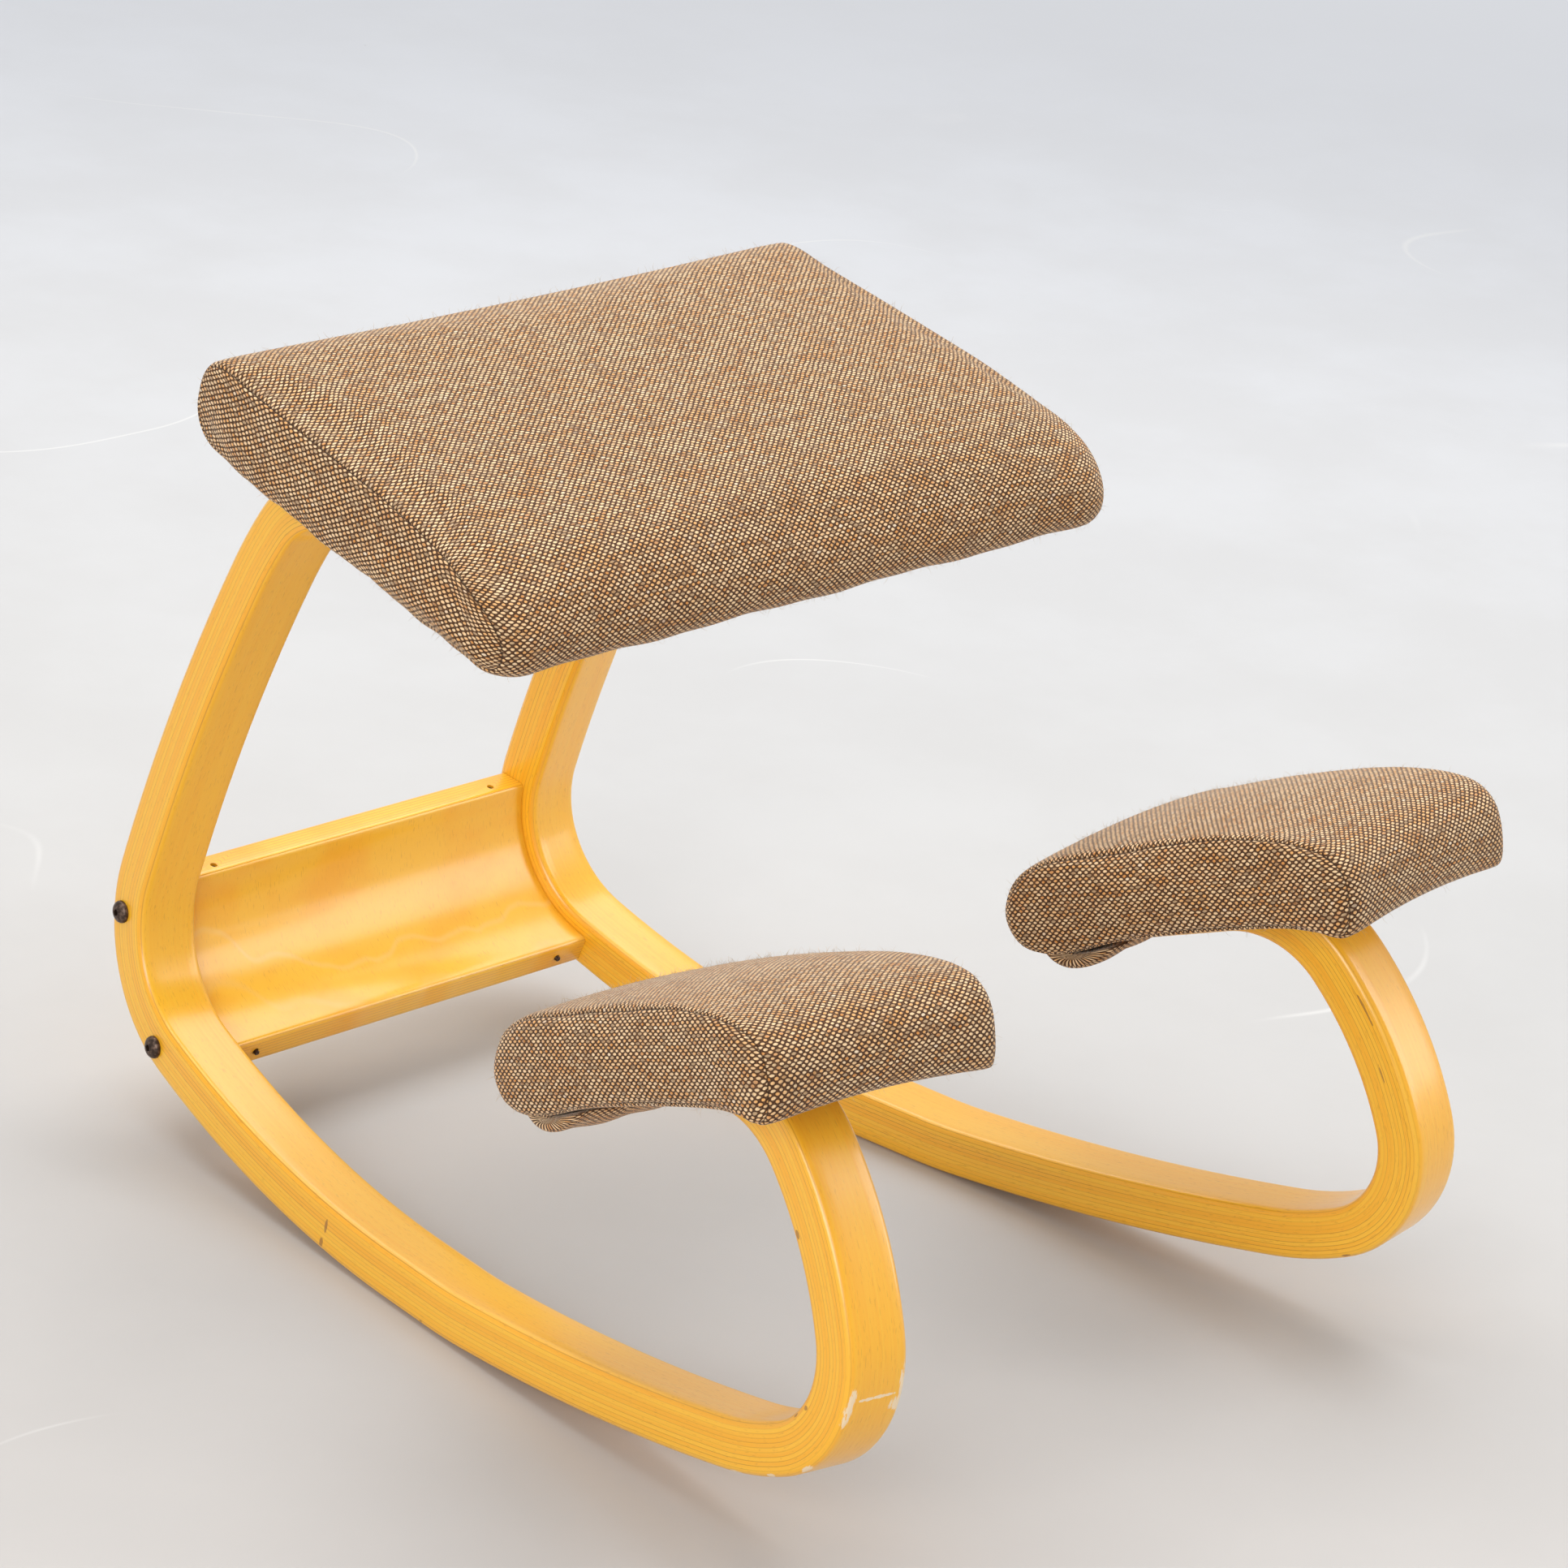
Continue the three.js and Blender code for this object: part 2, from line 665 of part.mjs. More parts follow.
const seatBoardLow = clothThick + fit;
const seatBoardHigh = seatBoardLow + seatBoardThick;
const seatTeeNutLow = seatBoardHigh - teeNutFlangeThick - fit;

// Seat bolts: on the rail's middle line, square to the board
const seatBoltYs = [-seatBoltInset, seatBoltInset - seatRailLength];
function seatBoltX(y) {
  const start = railStart.clone().applyMatrix4(chairToSeat);
  const end = railEnd.clone().applyMatrix4(chairToSeat);
  return start.x + ((end.x - start.x) * (y - start.y)) / (end.y - start.y);
}
const seatBolts = seatBoltYs.map((y) => ({ x: seatBoltX(y), y }));
const boltFaceBelow = fit + runnerThick - spotFaceDeep;

function seatBoardBody() {
  const plate = seatPlate(seatBoardInset, seatBoardLow, seatBoardThick);
  const bores = seatBolts.flatMap(({ x, y }) => {
    const low = new THREE.Vector3(x, y, -overrun);
    const recess = new THREE.Vector3(x, y, seatTeeNutLow - fit);
    const high = new THREE.Vector3(x, y, overrun);
    return [
      rod(low, high, teeNutBarrel + 2 * boreClearance),
      rod(recess, high, teeNutFlange + 2 * boreClearance),
    ];
  });
  return cutAway(plate, bores.flatMap(both));
}

function seatDustClothBody() {
  const plate = seatPlate(seatHem + fit, fit, dustClothThick);
  const bores = seatBolts.map(({ x, y }) =>
    rod(new THREE.Vector3(x, y, -overrun), new THREE.Vector3(x, y, overrun), teeNutBarrel + 2 * boreClearance),
  );
  return cutAway(plate, bores.flatMap(both));
}

function seatFoamBody() {
  const set = clothThick + fit;
  const clearBoard = seatPlate(seatBoardInset - fit, -overrun, overrun + seatBoardHigh + fit);
  return cutAway(seatSlab(set), [clearBoard]);
}

function seatCoverBody() {
  const opening = seatPlate(seatHem, -overrun, overrun + seatThick / 2);
  return cutAway(seatSlab(0), [seatSlab(clothThick), opening]);
}

// Knee pads, in the left pad's frame

function padOutline(inset) {
  const places = padOutlineShares.map(
    ([along, above]) => new THREE.Vector3(0, along * padLong - padForward, above * padThick),
  );
  const curve = new THREE.CatmullRomCurve3(places, true, "centripetal");
  const points = curve.getSpacedPoints(padOutlinePoints).slice(0, -1);
  const middle = padLong / 2 - padForward;
  const high = Math.max(...points.map((point) => point.z));
  const low = Math.min(...points.map((point) => point.z));
  return points.map((point, i) => {
    const before = points[(i + points.length - 1) % points.length];
    const after = points[(i + 1) % points.length];
    const tangent = new THREE.Vector3().subVectors(after, before).normalize();
    const y = point.y + tangent.z * inset;
    const z = point.z - tangent.y * inset;
    const along = (y - middle) / (padLong / 2);
    const height = (z - low) / (high - low);
    const lift = Math.max(0, tangent.y) * height * Math.max(0, 1 - along * along);
    return { y, z, lift, sink: tangent.y };
  });
}

function padSlab(inset) {
  return slab(padOutline(inset), {
    halfAt: () => padWide / 2 - inset,
    halfMean: padWide / 2 - inset,
    cornerRadius: padCornerRadius - inset,
    seamRadius: padSeamRadius,
    crown: padCrown,
    middleY: padLong / 2 - padForward,
    spanY: padLong - 2 * inset,
  });
}

// Underside of the shell, from front to rear: a wide arc and a hook at the rear, set up by a height
function shellCurve(up) {
  const centreY = -padShellPeak;
  const centreZ = fit - padShellRadius;
  const radius = padShellRadius + up;
  const from = Math.asin((padShellFront - padShellPeak) / padShellRadius);
  const to = Math.asin((padShellRear + padShellPeak) / padShellRadius);
  const points = [];
  const archSteps = 10;
  for (let i = 0; i <= archSteps; i++) {
    const angle = -from + ((from + to) * i) / archSteps;
    points.push(new THREE.Vector2(centreY + radius * Math.sin(angle), centreZ + radius * Math.cos(angle)));
  }
  const hookY = centreY + (padShellRadius - padShellHookRadius) * Math.sin(to);
  const hookZ = centreZ + (padShellRadius - padShellHookRadius) * Math.cos(to);
  const hookSteps = 4;
  for (let i = 1; i <= hookSteps; i++) {
    const angle = to + (radians(padShellHookTurn) * i) / hookSteps;
    const reach = padShellHookRadius + up;
    points.push(new THREE.Vector2(hookY + reach * Math.sin(angle), hookZ + reach * Math.cos(angle)));
  }
  return points;
}

// A prism across the pad from a side outline
function padPrism(points, half) {
  const prism = new THREE.ExtrudeGeometry(new THREE.Shape(points), { depth: 2 * half, bevelEnabled: false });
  prism.applyMatrix4(new THREE.Matrix4().makeBasis(Y_AXIS, Z_AXIS, X_AXIS));
  return prism.translate(-half, 0, 0);
}

const padBolts = [-padBoltPitch / 2, padBoltPitch / 2];
const padShellLift = (y) => fit - (y + padShellPeak) ** 2 / (2 * padShellRadius);
const padTeeNutLow = (y) => {
  const edges = [y - teeNutFlange / 2, y + teeNutFlange / 2];
  return Math.min(...edges.map(padShellLift)) + padShellThick - teeNutFlangeThick - fit;
};
const padTeeNutBarrel = (y) => {
  const edges = [y - teeNutBarrel / 2, y + teeNutBarrel / 2];
  return padTeeNutLow(y) - Math.max(...edges.map(padShellLift));
};

function padShellBody() {
  const outline = [...shellCurve(0), ...shellCurve(padShellThick).reverse()];
  const blank = padPrism(outline, padWide / 2 - padSkirt - fit);
  const bores = padBolts.flatMap((y) => {
    const low = new THREE.Vector3(0, y, -overrun);
    const recess = new THREE.Vector3(0, y, padTeeNutLow(y) - fit);
    const high = new THREE.Vector3(0, y, overrun);
    return [
      rod(low, high, teeNutBarrel + 2 * boreClearance),
      rod(recess, high, teeNutFlange + 2 * boreClearance),
    ];
  });
  return cutAway(blank, bores);
}

// Everything below the top of the shell, with a clearance round it
function padHollow(half, above) {
  const roof = shellCurve(above);
  const first = roof[0];
  const last = roof[roof.length - 1];
  const outline = [
    new THREE.Vector2(first.x - fit, -overrun),
    new THREE.Vector2(first.x - fit, first.y),
    ...roof,
    new THREE.Vector2(last.x + fit, last.y),
    new THREE.Vector2(last.x + fit, -overrun),
  ];
  return padPrism(outline, half);
}

function padFoamBody() {
  const hollow = padHollow(padWide / 2 - padSkirt, padShellThick + fit);
  return cutAway(padSlab(clothThick + fit), [hollow]);
}

function padCoverBody() {
  const hollow = padHollow(padWide / 2 - padSkirt, 0);
  return cutAway(padSlab(0), [padSlab(clothThick), hollow]);
}

// Runner with its bores, the flat planed for the seat board and the saddle cut for the pad shell
function runnerWithBores() {
  const tools = [];
  const bore = boltShank + 2 * boreClearance;
  for (const run of panelBoltRuns) {
    tools.push(rod(panelBoltSpot(run, -overrun), panelBoltSpot(run, runnerWide + overrun), bore));
  }
  const toRunner = (matrix) => chairToRunner.clone().multiply(matrix);
  const planed = block(
    new THREE.Vector3(-stance / 2, -seatDeep, 0),
    new THREE.Vector3(0, seatDeep, overrun),
  );
  const seatTools = [planed];
  for (const { x, y } of seatBolts) {
    const face = new THREE.Vector3(x, y, -boltFaceBelow);
    const low = new THREE.Vector3(x, y, -boltFaceBelow - overrun);
    const high = new THREE.Vector3(x, y, overrun);
    seatTools.push(rod(low, high, bore), rod(low, face, boltHead + 2 * headClearance));
  }
  tools.push(...seatTools.map((tool) => moved(tool, toRunner(seatPlace))));

  const saddle = [...shellCurve(-fit), ...shellCurve(overrun).reverse()];
  const padTools = [padPrism(saddle, padWide / 2)];
  for (const y of padBolts) {
    const face = new THREE.Vector3(0, y, -boltFaceBelow);
    const low = new THREE.Vector3(0, y, -boltFaceBelow - overrun / 2);
    const high = new THREE.Vector3(0, y, overrun);
    padTools.push(rod(low, high, bore), rod(low, face, boltHead + 2 * headClearance));
  }
  tools.push(...padTools.map((tool) => moved(tool, toRunner(leftPad))));
  return cutAway(runnerBody(), tools);
}

// Assembly

const chair = new THREE.Group();
chair.name = "kneeling_chair";

function piece(parent, name, geometry, material) {
  const mesh = new THREE.Mesh(geometry, material);
  mesh.name = name;
  parent.add(mesh);
  return mesh;
}

const placedGroup = (parent, matrix) => {
  const group = new THREE.Group();
  group.applyMatrix4(matrix);
  parent.add(group);
  return group;
};

// One side of the chair; the right side is the left one mirrored
function addSide(side, shared) {
  const mirror = new THREE.Group();
  mirror.scale.x = side === "left" ? 1 : -1;
  chair.add(mirror);
  const lean = placedGroup(mirror, leftLean);
  piece(lean, `${side}_runner`, shared.runner, beech());
  ["lower", "upper"].forEach((level, i) => {
    const run = panelBoltRuns[i];
    const bolt = piece(lean, `${side}_${level}_panel_bolt`, shared.panelBolt, bronzedSteel());
    bolt.position.copy(panelBoltSpot(run, -fit));
    const sleeve = piece(lean, `${side}_${level}_panel_sleeve`, shared.sleeve, plainSteel());
    sleeve.position.copy(panelBoltSpot(run, runnerWide + 2 * fit));
    const [inner, outer] = pinEnds(i === 1, 0);
    piece(lean, `${side}_${level}_locking_pin`, rod(inner, outer, pinDiameter), bronzedSteel());
  });

  const pad = placedGroup(mirror, leftPad);
  piece(pad, `${side}_pad_shell`, shared.padShell, shellPly());
  piece(pad, `${side}_pad_foam`, shared.padFoam, foam());
  piece(pad, `${side}_pad_cover`, shared.padCover, tweed());
  ["front", "rear"].forEach((end, i) => {
    const y = padBolts[i];
    const bolt = piece(pad, `${side}_${end}_pad_bolt`, shared.padBolt, bronzedSteel());
    bolt.rotation.y = -Math.PI / 2;
    bolt.position.set(0, y, -boltFaceBelow - fit);
    const nut = piece(pad, `${side}_${end}_pad_tee_nut`, shared.padTeeNut, plainSteel());
    nut.position.set(0, y, padTeeNutLow(y));
  });

  const seatSide = placedGroup(mirror, seatPlace);
  ["rear", "front"].forEach((end, i) => {
    const { x, y } = seatBolts[i];
    const bolt = piece(seatSide, `${side}_${end}_seat_bolt`, shared.seatBolt, bronzedSteel());
    bolt.rotation.y = -Math.PI / 2;
    bolt.position.set(x, y, -boltFaceBelow - fit);
    const nut = piece(seatSide, `${side}_${end}_seat_tee_nut`, shared.seatTeeNut, plainSteel());
    nut.position.set(x, y, seatTeeNutLow);
  });
}

const shared = {
  runner: runnerWithBores(),
  panelBolt: boltBody(panelBoltLength),
  sleeve: sleeveBody(),
  padShell: padShellBody(),
  padFoam: padFoamBody(),
  padCover: padCoverBody(),
  padBolt: boltBody(boltFaceBelow + Math.min(...padBolts.map(padTeeNutLow)) + teeNutFlangeThick),
  padTeeNut: teeNutBody(Math.min(...padBolts.map(padTeeNutBarrel))),
  seatBolt: boltBody(boltFaceBelow + seatBoardLow + seatBoardThick - fit),
  seatTeeNut: teeNutBody(seatBoardThick - teeNutFlangeThick - 2 * fit),
};
addSide("left", shared);
addSide("right", shared);

piece(chair, "cross_panel", panelBody(), panelPly());

const seat = placedGroup(chair, seatPlace);
piece(seat, "seat_board", seatBoardBody(), rawPly());
piece(seat, "seat_dust_cloth", seatDustClothBody(), dustCloth());
piece(seat, "seat_foam", seatFoamBody(), foam());
piece(seat, "seat_cover", seatCoverBody(), tweed());

// Stand the chair on the floor with the origin under the middle of its box
chair.updateMatrixWorld(true);
const box = new THREE.Box3().setFromObject(chair, true);
chair.position.set(0, -(box.min.y + box.max.y) / 2, -box.min.z);

export default chair;
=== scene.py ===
"""Looks of a rocking kneeling chair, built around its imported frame.

Metres, +Z up, the front of the chair towards -Y. Left is -X, the runner next to the camera.
"""

import logging
import math
from dataclasses import dataclass, field
from enum import Enum
from functools import reduce

import bmesh
import bpy
import numpy as np
from mathutils import Matrix, Vector
from mathutils.kdtree import KDTree


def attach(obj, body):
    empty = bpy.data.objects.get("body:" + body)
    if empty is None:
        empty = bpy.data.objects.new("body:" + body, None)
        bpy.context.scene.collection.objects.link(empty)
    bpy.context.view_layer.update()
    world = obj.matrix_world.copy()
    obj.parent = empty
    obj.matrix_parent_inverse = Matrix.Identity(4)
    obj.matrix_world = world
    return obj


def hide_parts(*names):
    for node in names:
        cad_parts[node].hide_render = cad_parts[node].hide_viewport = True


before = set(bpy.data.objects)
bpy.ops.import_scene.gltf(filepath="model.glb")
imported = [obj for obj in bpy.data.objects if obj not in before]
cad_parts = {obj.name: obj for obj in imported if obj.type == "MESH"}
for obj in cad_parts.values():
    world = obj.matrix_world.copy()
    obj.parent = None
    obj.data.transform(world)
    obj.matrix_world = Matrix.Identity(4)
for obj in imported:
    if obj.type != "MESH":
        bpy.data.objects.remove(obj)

log = logging.getLogger("kneeling_chair")
CHAIR_SHIFT = Matrix.Translation((0.0, 0.018048, 0.001385))
MIRROR_X = Matrix.Diagonal((-1.0, 1.0, 1.0, 1.0))
MESH_SHARP = 40.0
ALL_SMOOTH = 180.0
Triple = tuple[float, float, float]
Pair = tuple[float, float]
Faces = list[tuple[int, ...]]
Corners = tuple[int, int, int, int]
Piece = bpy.types.Object
Finish = bpy.types.Material
Socket = bpy.types.NodeSocket
GRAIN = "grain"
CLOTH_MAP = "cloth"
# Marks the points along each seam, where the tweed paints shade into the seam's groove.
SEAM_SHADE = "seam"


class Side(Enum):
    """The half of the chair that a piece belongs to."""

    LEFT = -1
    RIGHT = 1

    @property
    def word(self) -> str:
        """The side as the names of the nodes have it."""
        return self.name.lower()

    @property
    def turn(self) -> Matrix:
        """What turns a left piece into one of this side."""
        return Matrix.Identity(4) if self is Side.LEFT else MIRROR_X


class Way(Enum):
    """The direction in which a runner's centreline is walked from where it touches the floor."""

    FRONT = 1
    REAR = -1


# Meshes


def moved(points: np.ndarray, matrix: Matrix) -> np.ndarray:
    """Points after a matrix.

    Args:
        points: One point a row.
        matrix: The 4 by 4 matrix.

    Returns:
        The moved points, one a row.
    """
    m = np.array(matrix, float)
    return points @ m[:3, :3].T + m[:3, 3]


def strip_faces(rings: int, count: int, start: int = 0, closed: bool = True) -> Faces:
    """Quads between neighbouring rings of equally many points.

    Args:
        rings: Number of rings.
        count: Points of one ring.
        start: Index of the first ring's first point.
        closed: Whether the last point of a ring joins the first.

    Returns:
        The quads as indices.
    """
    faces = []
    for ring in range(rings - 1):
        here = start + ring * count
        for i in range(count if closed else count - 1):
            j = (i + 1) % count
            faces.append((here + i, here + j, here + count + j, here + count + i))
    return faces


def capped_faces(rings: int, count: int) -> Faces:
    """Quads between closed rings of equally many points, and a face over each end ring."""
    last = (rings - 1) * count
    return [*strip_faces(rings, count), tuple(range(count)), tuple(range(last, last + count))]


def run_round(loop: np.ndarray) -> np.ndarray:
    """The length walked up to each point of a closed loop, and round to the first point again."""
    steps = np.diff(np.vstack([loop, loop[:1]]), axis=0)
    return np.concatenate([[0.0], np.cumsum(np.linalg.norm(steps, axis=1))])


def nearest_rows(points: np.ndarray, wanted: np.ndarray) -> list[int]:
    """For each wanted place, the index of the point that lies nearest to it."""
    tree = KDTree(len(points))
    for i, point in enumerate(points):
        tree.insert(point, i)
    tree.balance()
    return [tree.find(place)[1] for place in wanted]


def added(name: str, data: bpy.types.ID) -> Piece:
    """Links an object with some data to the scene."""
    piece = bpy.data.objects.new(name, data)
    bpy.context.scene.collection.objects.link(piece)
    return piece


def mesh_object(
    name: str, points: np.ndarray, faces: Faces, sharp: float = MESH_SHARP
) -> Piece:
    """A smooth-shaded mesh object with its faces turned outwards.

    Args:
        name: Name of the piece.
        points: One point a row.
        faces: Indices of the points round each face.
        sharp: Angle in degrees past which an edge stays sharp.

    Returns:
        The object, linked to the scene and at the origin.
    """
    mesh = bpy.data.meshes.new(name)
    mesh.from_pydata(np.asarray(points, float).tolist(), [], faces)
    mesh.validate()
    piece = added(name, mesh)
    face_outwards(piece)
    smooth(piece, sharp)
    return piece


def face_outwards(piece: Piece) -> None:
    """Turns a closed mesh's faces outwards."""
    work = bmesh.new()
    work.from_mesh(piece.data)
    bmesh.ops.recalc_face_normals(work, faces=work.faces)
    if work.calc_volume(signed=True) < 0:
        bmesh.ops.reverse_faces(work, faces=work.faces)
    work.to_mesh(piece.data)
    work.free()


def smooth(piece: Piece, sharp: float) -> None:
    """Shades a mesh smooth except along edges sharper than an angle in degrees."""
    piece.data.shade_smooth()
    piece.data.set_sharp_from_angle(angle=math.radians(sharp))


def places(piece: Piece) -> np.ndarray:
    """The points of a mesh object, one a row."""
    found = np.empty(len(piece.data.vertices) * 3)
    piece.data.vertices.foreach_get("co", found)
    return found.reshape(-1, 3)


def set_places(piece: Piece, points: np.ndarray) -> None:
    """Moves the points of a mesh object."""
    piece.data.vertices.foreach_set("co", np.ascontiguousarray(points, float).ravel())
    piece.data.update()


def ring_of(radius, angle: np.ndarray, z: float) -> np.ndarray:
    """Points round the z axis at a height."""
    return np.stack([radius * np.cos(angle), radius * np.sin(angle), np.full(len(angle), z)], 1)


def set_vectors(piece: Piece, name: str, values: np.ndarray) -> None:
    """Gives each point of a mesh a vector for its material to read."""
    layer = piece.data.attributes.new(name, "FLOAT_VECTOR", "POINT")
    layer.data.foreach_set("vector", np.ascontiguousarray(values, np.float32).ravel())


def baked(piece: Piece) -> Piece:
    """Turns a piece with modifiers into a plain mesh.

    Args:
        piece: The object with its modifiers.

    Returns:
        The same object with the result as its mesh and no modifier.
    """
    bpy.context.view_layer.update()
    graph = bpy.context.evaluated_depsgraph_get()
    made = bpy.data.meshes.new_from_object(piece.evaluated_get(graph), depsgraph=graph)
    before = piece.data
    piece.modifiers.clear()
    piece.data = made
    bpy.data.meshes.remove(before)
    return piece


def bored(piece: Piece, rods: list[tuple[Vector, Vector, float]], sides: int = 32) -> Piece:
    """Cuts round holes into a piece.

    Args:
        piece: The piece that is cut.
        rods: Start, end and radius of each hole.
        sides: Sides of each hole.

    Returns:
        The piece as a plain mesh.
    """
    for start, end, radius in rods:
        tool = lathe("bore", [(0.0, radius), ((end - start).length, radius)], sides)
        tool.data.transform(stand(start, end - start))
        cut = piece.modifiers.new("bore", "BOOLEAN")
        cut.operation, cut.solver, cut.object = "DIFFERENCE", "EXACT", tool
        baked(piece)
        bpy.data.objects.remove(tool)
    return piece


def refined(piece: Piece) -> Piece:
    """Divides each face of a piece once, on a smooth surface."""
    finer = piece.modifiers.new("finer", "SUBSURF")
    finer.levels = finer.render_levels = 1
    return baked(piece)


def settled(piece: Piece, place: Matrix) -> Piece:
    """Moves a soft piece to its place, with its faces outwards if the place mirrors it."""
    piece.data.transform(place)
    if place.determinant() < 0:
        piece.data.flip_normals()
    smooth(piece, ALL_SMOOTH)
    return piece


def stand(place: Vector, axis: Vector) -> Matrix:
    """A matrix that stands a piece's own z axis on a place, along an axis."""
    turn = axis.to_track_quat("Z", "Y").to_matrix().to_4x4()
    return Matrix.Translation(place) @ turn


def lathe(name: str, profile: list[Pair], sides: int) -> Piece:
    """A closed body turned round the z axis.

    Args:
        name: Name of the piece.
        profile: Height and radius of each ring, from the foot to the top.
        sides: Points of one ring.

    Returns:
        The object.
    """
    angle = np.linspace(0.0, 2 * math.pi, sides, endpoint=False)
    rings = [ring_of(radius, angle, z) for z, radius in profile]
    return mesh_object(name, np.concatenate(rings), capped_faces(len(rings), sides), 30.0)


# Materials


class Graph:
    """Short calls that lay out a material's nodes."""

    def __init__(self, name: str) -> None:
        """Starts an empty material.

        Args:
            name: Name of the material.
        """
        self.material = bpy.data.materials.new(name)
        self.material.use_nodes = True
        self.tree = self.material.node_tree
        self.tree.nodes.clear()

    def node(self, kind: str, inputs: dict | None = None, **settings) -> bpy.types.Node:
        """Adds a node.

        Args:
            kind: Blender's name of the node.
            inputs: Values or sockets for its inputs, by name or number.
            settings: Values for its properties.

        Returns:
            The node.
        """
        made = self.tree.nodes.new(kind)
        for key, value in settings.items():
            setattr(made, key, value)
        for key, value in (inputs or {}).items():
            self.feed(made.inputs[key], value)
        return made

    def feed(self, socket: Socket, value) -> None:
        """Links an input to a socket, or sets its value.

        Args:
            socket: The input.
            value: A socket, a number, or a colour of three or four numbers.
        """
        if isinstance(value, Socket):
            self.tree.links.new(value, socket)
        elif socket.type == "RGBA" and len(value) == 3:
            socket.default_value = (*value, 1.0)
        else:
            socket.default_value = value

    def math(self, operation: str, *values, clamp: bool = False) -> Socket:
        """The result of a Math node."""
        inputs = dict(enumerate(values))
        return self.node("ShaderNodeMath", inputs, operation=operation, use_clamp=clamp).outputs[0]

    def plus(self, first, second, clamp: bool = False) -> Socket:
        """The sum of two values or sockets."""
        return self.math("ADD", first, second, clamp=clamp)

    def minus(self, first, second, clamp: bool = False) -> Socket:
        """What is left of the first without the second."""
        return self.math("SUBTRACT", first, second, clamp=clamp)

    def times(self, first, second) -> Socket:
        """The product of two values or sockets."""
        return self.math("MULTIPLY", first, second)

    def over(self, first, second) -> Socket:
        """The first divided by the second."""
        return self.math("DIVIDE", first, second)

    def squared(self, value) -> Socket:
        """The square of a value."""
        return self.math("POWER", value, 2.0)

    def centred(self, value) -> Socket:
        """A value from 0 to 1, seen from its middle."""
        return self.minus(value, 0.5)

    def from_zero(self, value) -> Socket:
        """How far a value lies from 0, on either side."""
        return self.math("ABSOLUTE", value)

    def larger(self, first, second) -> Socket:
        """The larger of two values or sockets."""
        return self.math("MAXIMUM", first, second)

    def weighed(self, values, shares: tuple[float, ...]) -> Socket:
        """The sum of several values, each times its share."""
        parts = [self.times(value, share) for value, share in zip(values, shares)]
        return reduce(self.plus, parts)

    def mix(self, share, low, high) -> Socket:
        """The result of mixing two colours.

        Args:
            share: How much of the second colour there is, from 0 to 1.
            low: The first colour.
            high: The second colour.

        Returns:
            The mixed colour.
        """
        made = self.node("ShaderNodeMix", data_type="RGBA", blend_type="MIX")
        for index, value in ((0, share), (6, low), (7, high)):
            self.feed(made.inputs[index], value)
        return made.outputs[2]

    def vector(self, x, y, z) -> Socket:
        """A vector from three values or sockets."""
        return self.node("ShaderNodeCombineXYZ", {0: x, 1: y, 2: z}).outputs[0]

    def parts(self, vector) -> tuple[Socket, ...]:
        """The three values of a vector."""
        return tuple(self.node("ShaderNodeSeparateXYZ", {0: vector}).outputs)

    def stretched(self, parts, pitch: Triple) -> Socket:
        """A vector from three values, each times its own pitch."""
        return self.vector(*(self.times(part, scale) for part, scale in zip(parts, pitch)))

    def noise(self, vector, scale: float, detail: float = 2.0, rough: float = 0.5) -> Socket:
        """The value of a Noise Texture, from about 0 to 1."""
        inputs = {"Vector": vector, "Scale": scale, "Detail": detail, "Roughness": rough}
        return self.node("ShaderNodeTexNoise", inputs).outputs[0]

    def drawn(self, parts, pitch: Triple, detail: float = 2.0, rough: float = 0.5) -> Socket:
        """The value of a noise that is drawn out differently each way."""
        return self.noise(self.stretched(parts, pitch), 1.0, detail, rough)

    def white(self, x, y=0.0, z=0.0) -> bpy.types.Node:
        """A White Noise node over three values."""
        return self.node("ShaderNodeTexWhiteNoise", {"Vector": self.vector(x, y, z)}, noise_dimensions="3D")

    def span(self, value, low: float, high: float, start: float = 0.0, end: float = 1.0) -> Socket:
        """A value taken smoothly and clamped from one range to another."""
        inputs = {0: value, 1: low, 2: high, 3: start, 4: end}
        return self.node("ShaderNodeMapRange", inputs, interpolation_type="SMOOTHSTEP").outputs[0]

    def mask(self, value, rise: Triple) -> Socket:
        """A share that rises with a value: where it starts, where it is full, and the full share."""
        return self.span(value, rise[0], rise[1], 0.0, rise[2])

    def bump(self, height, distance: float, strength: float) -> Socket:
        """A normal from a height."""
        inputs = {"Height": height, "Distance": distance, "Strength": strength}
        return self.node("ShaderNodeBump", inputs).outputs[0]

    def surface(self, **inputs) -> Finish:
        """Ends the material in a Principled BSDF.

        Args:
            inputs: Values or sockets, with underscores for the spaces of the inputs' names.

        Returns:
            The finished material.
        """
        named = {key.replace("_", " "): value for key, value in inputs.items()}
        shader = self.node("ShaderNodeBsdfPrincipled", named)
        self.node("ShaderNodeOutputMaterial", {"Surface": shader.outputs[0]})
        return self.material


@dataclass(frozen=True)
class WornSpot:
    """A place on a runner where the lacquer is rubbed or stained.

    The place and its reach are along the runner, across it from its outer face, and out from its middle.
    """

    place: Triple
    reach: Triple


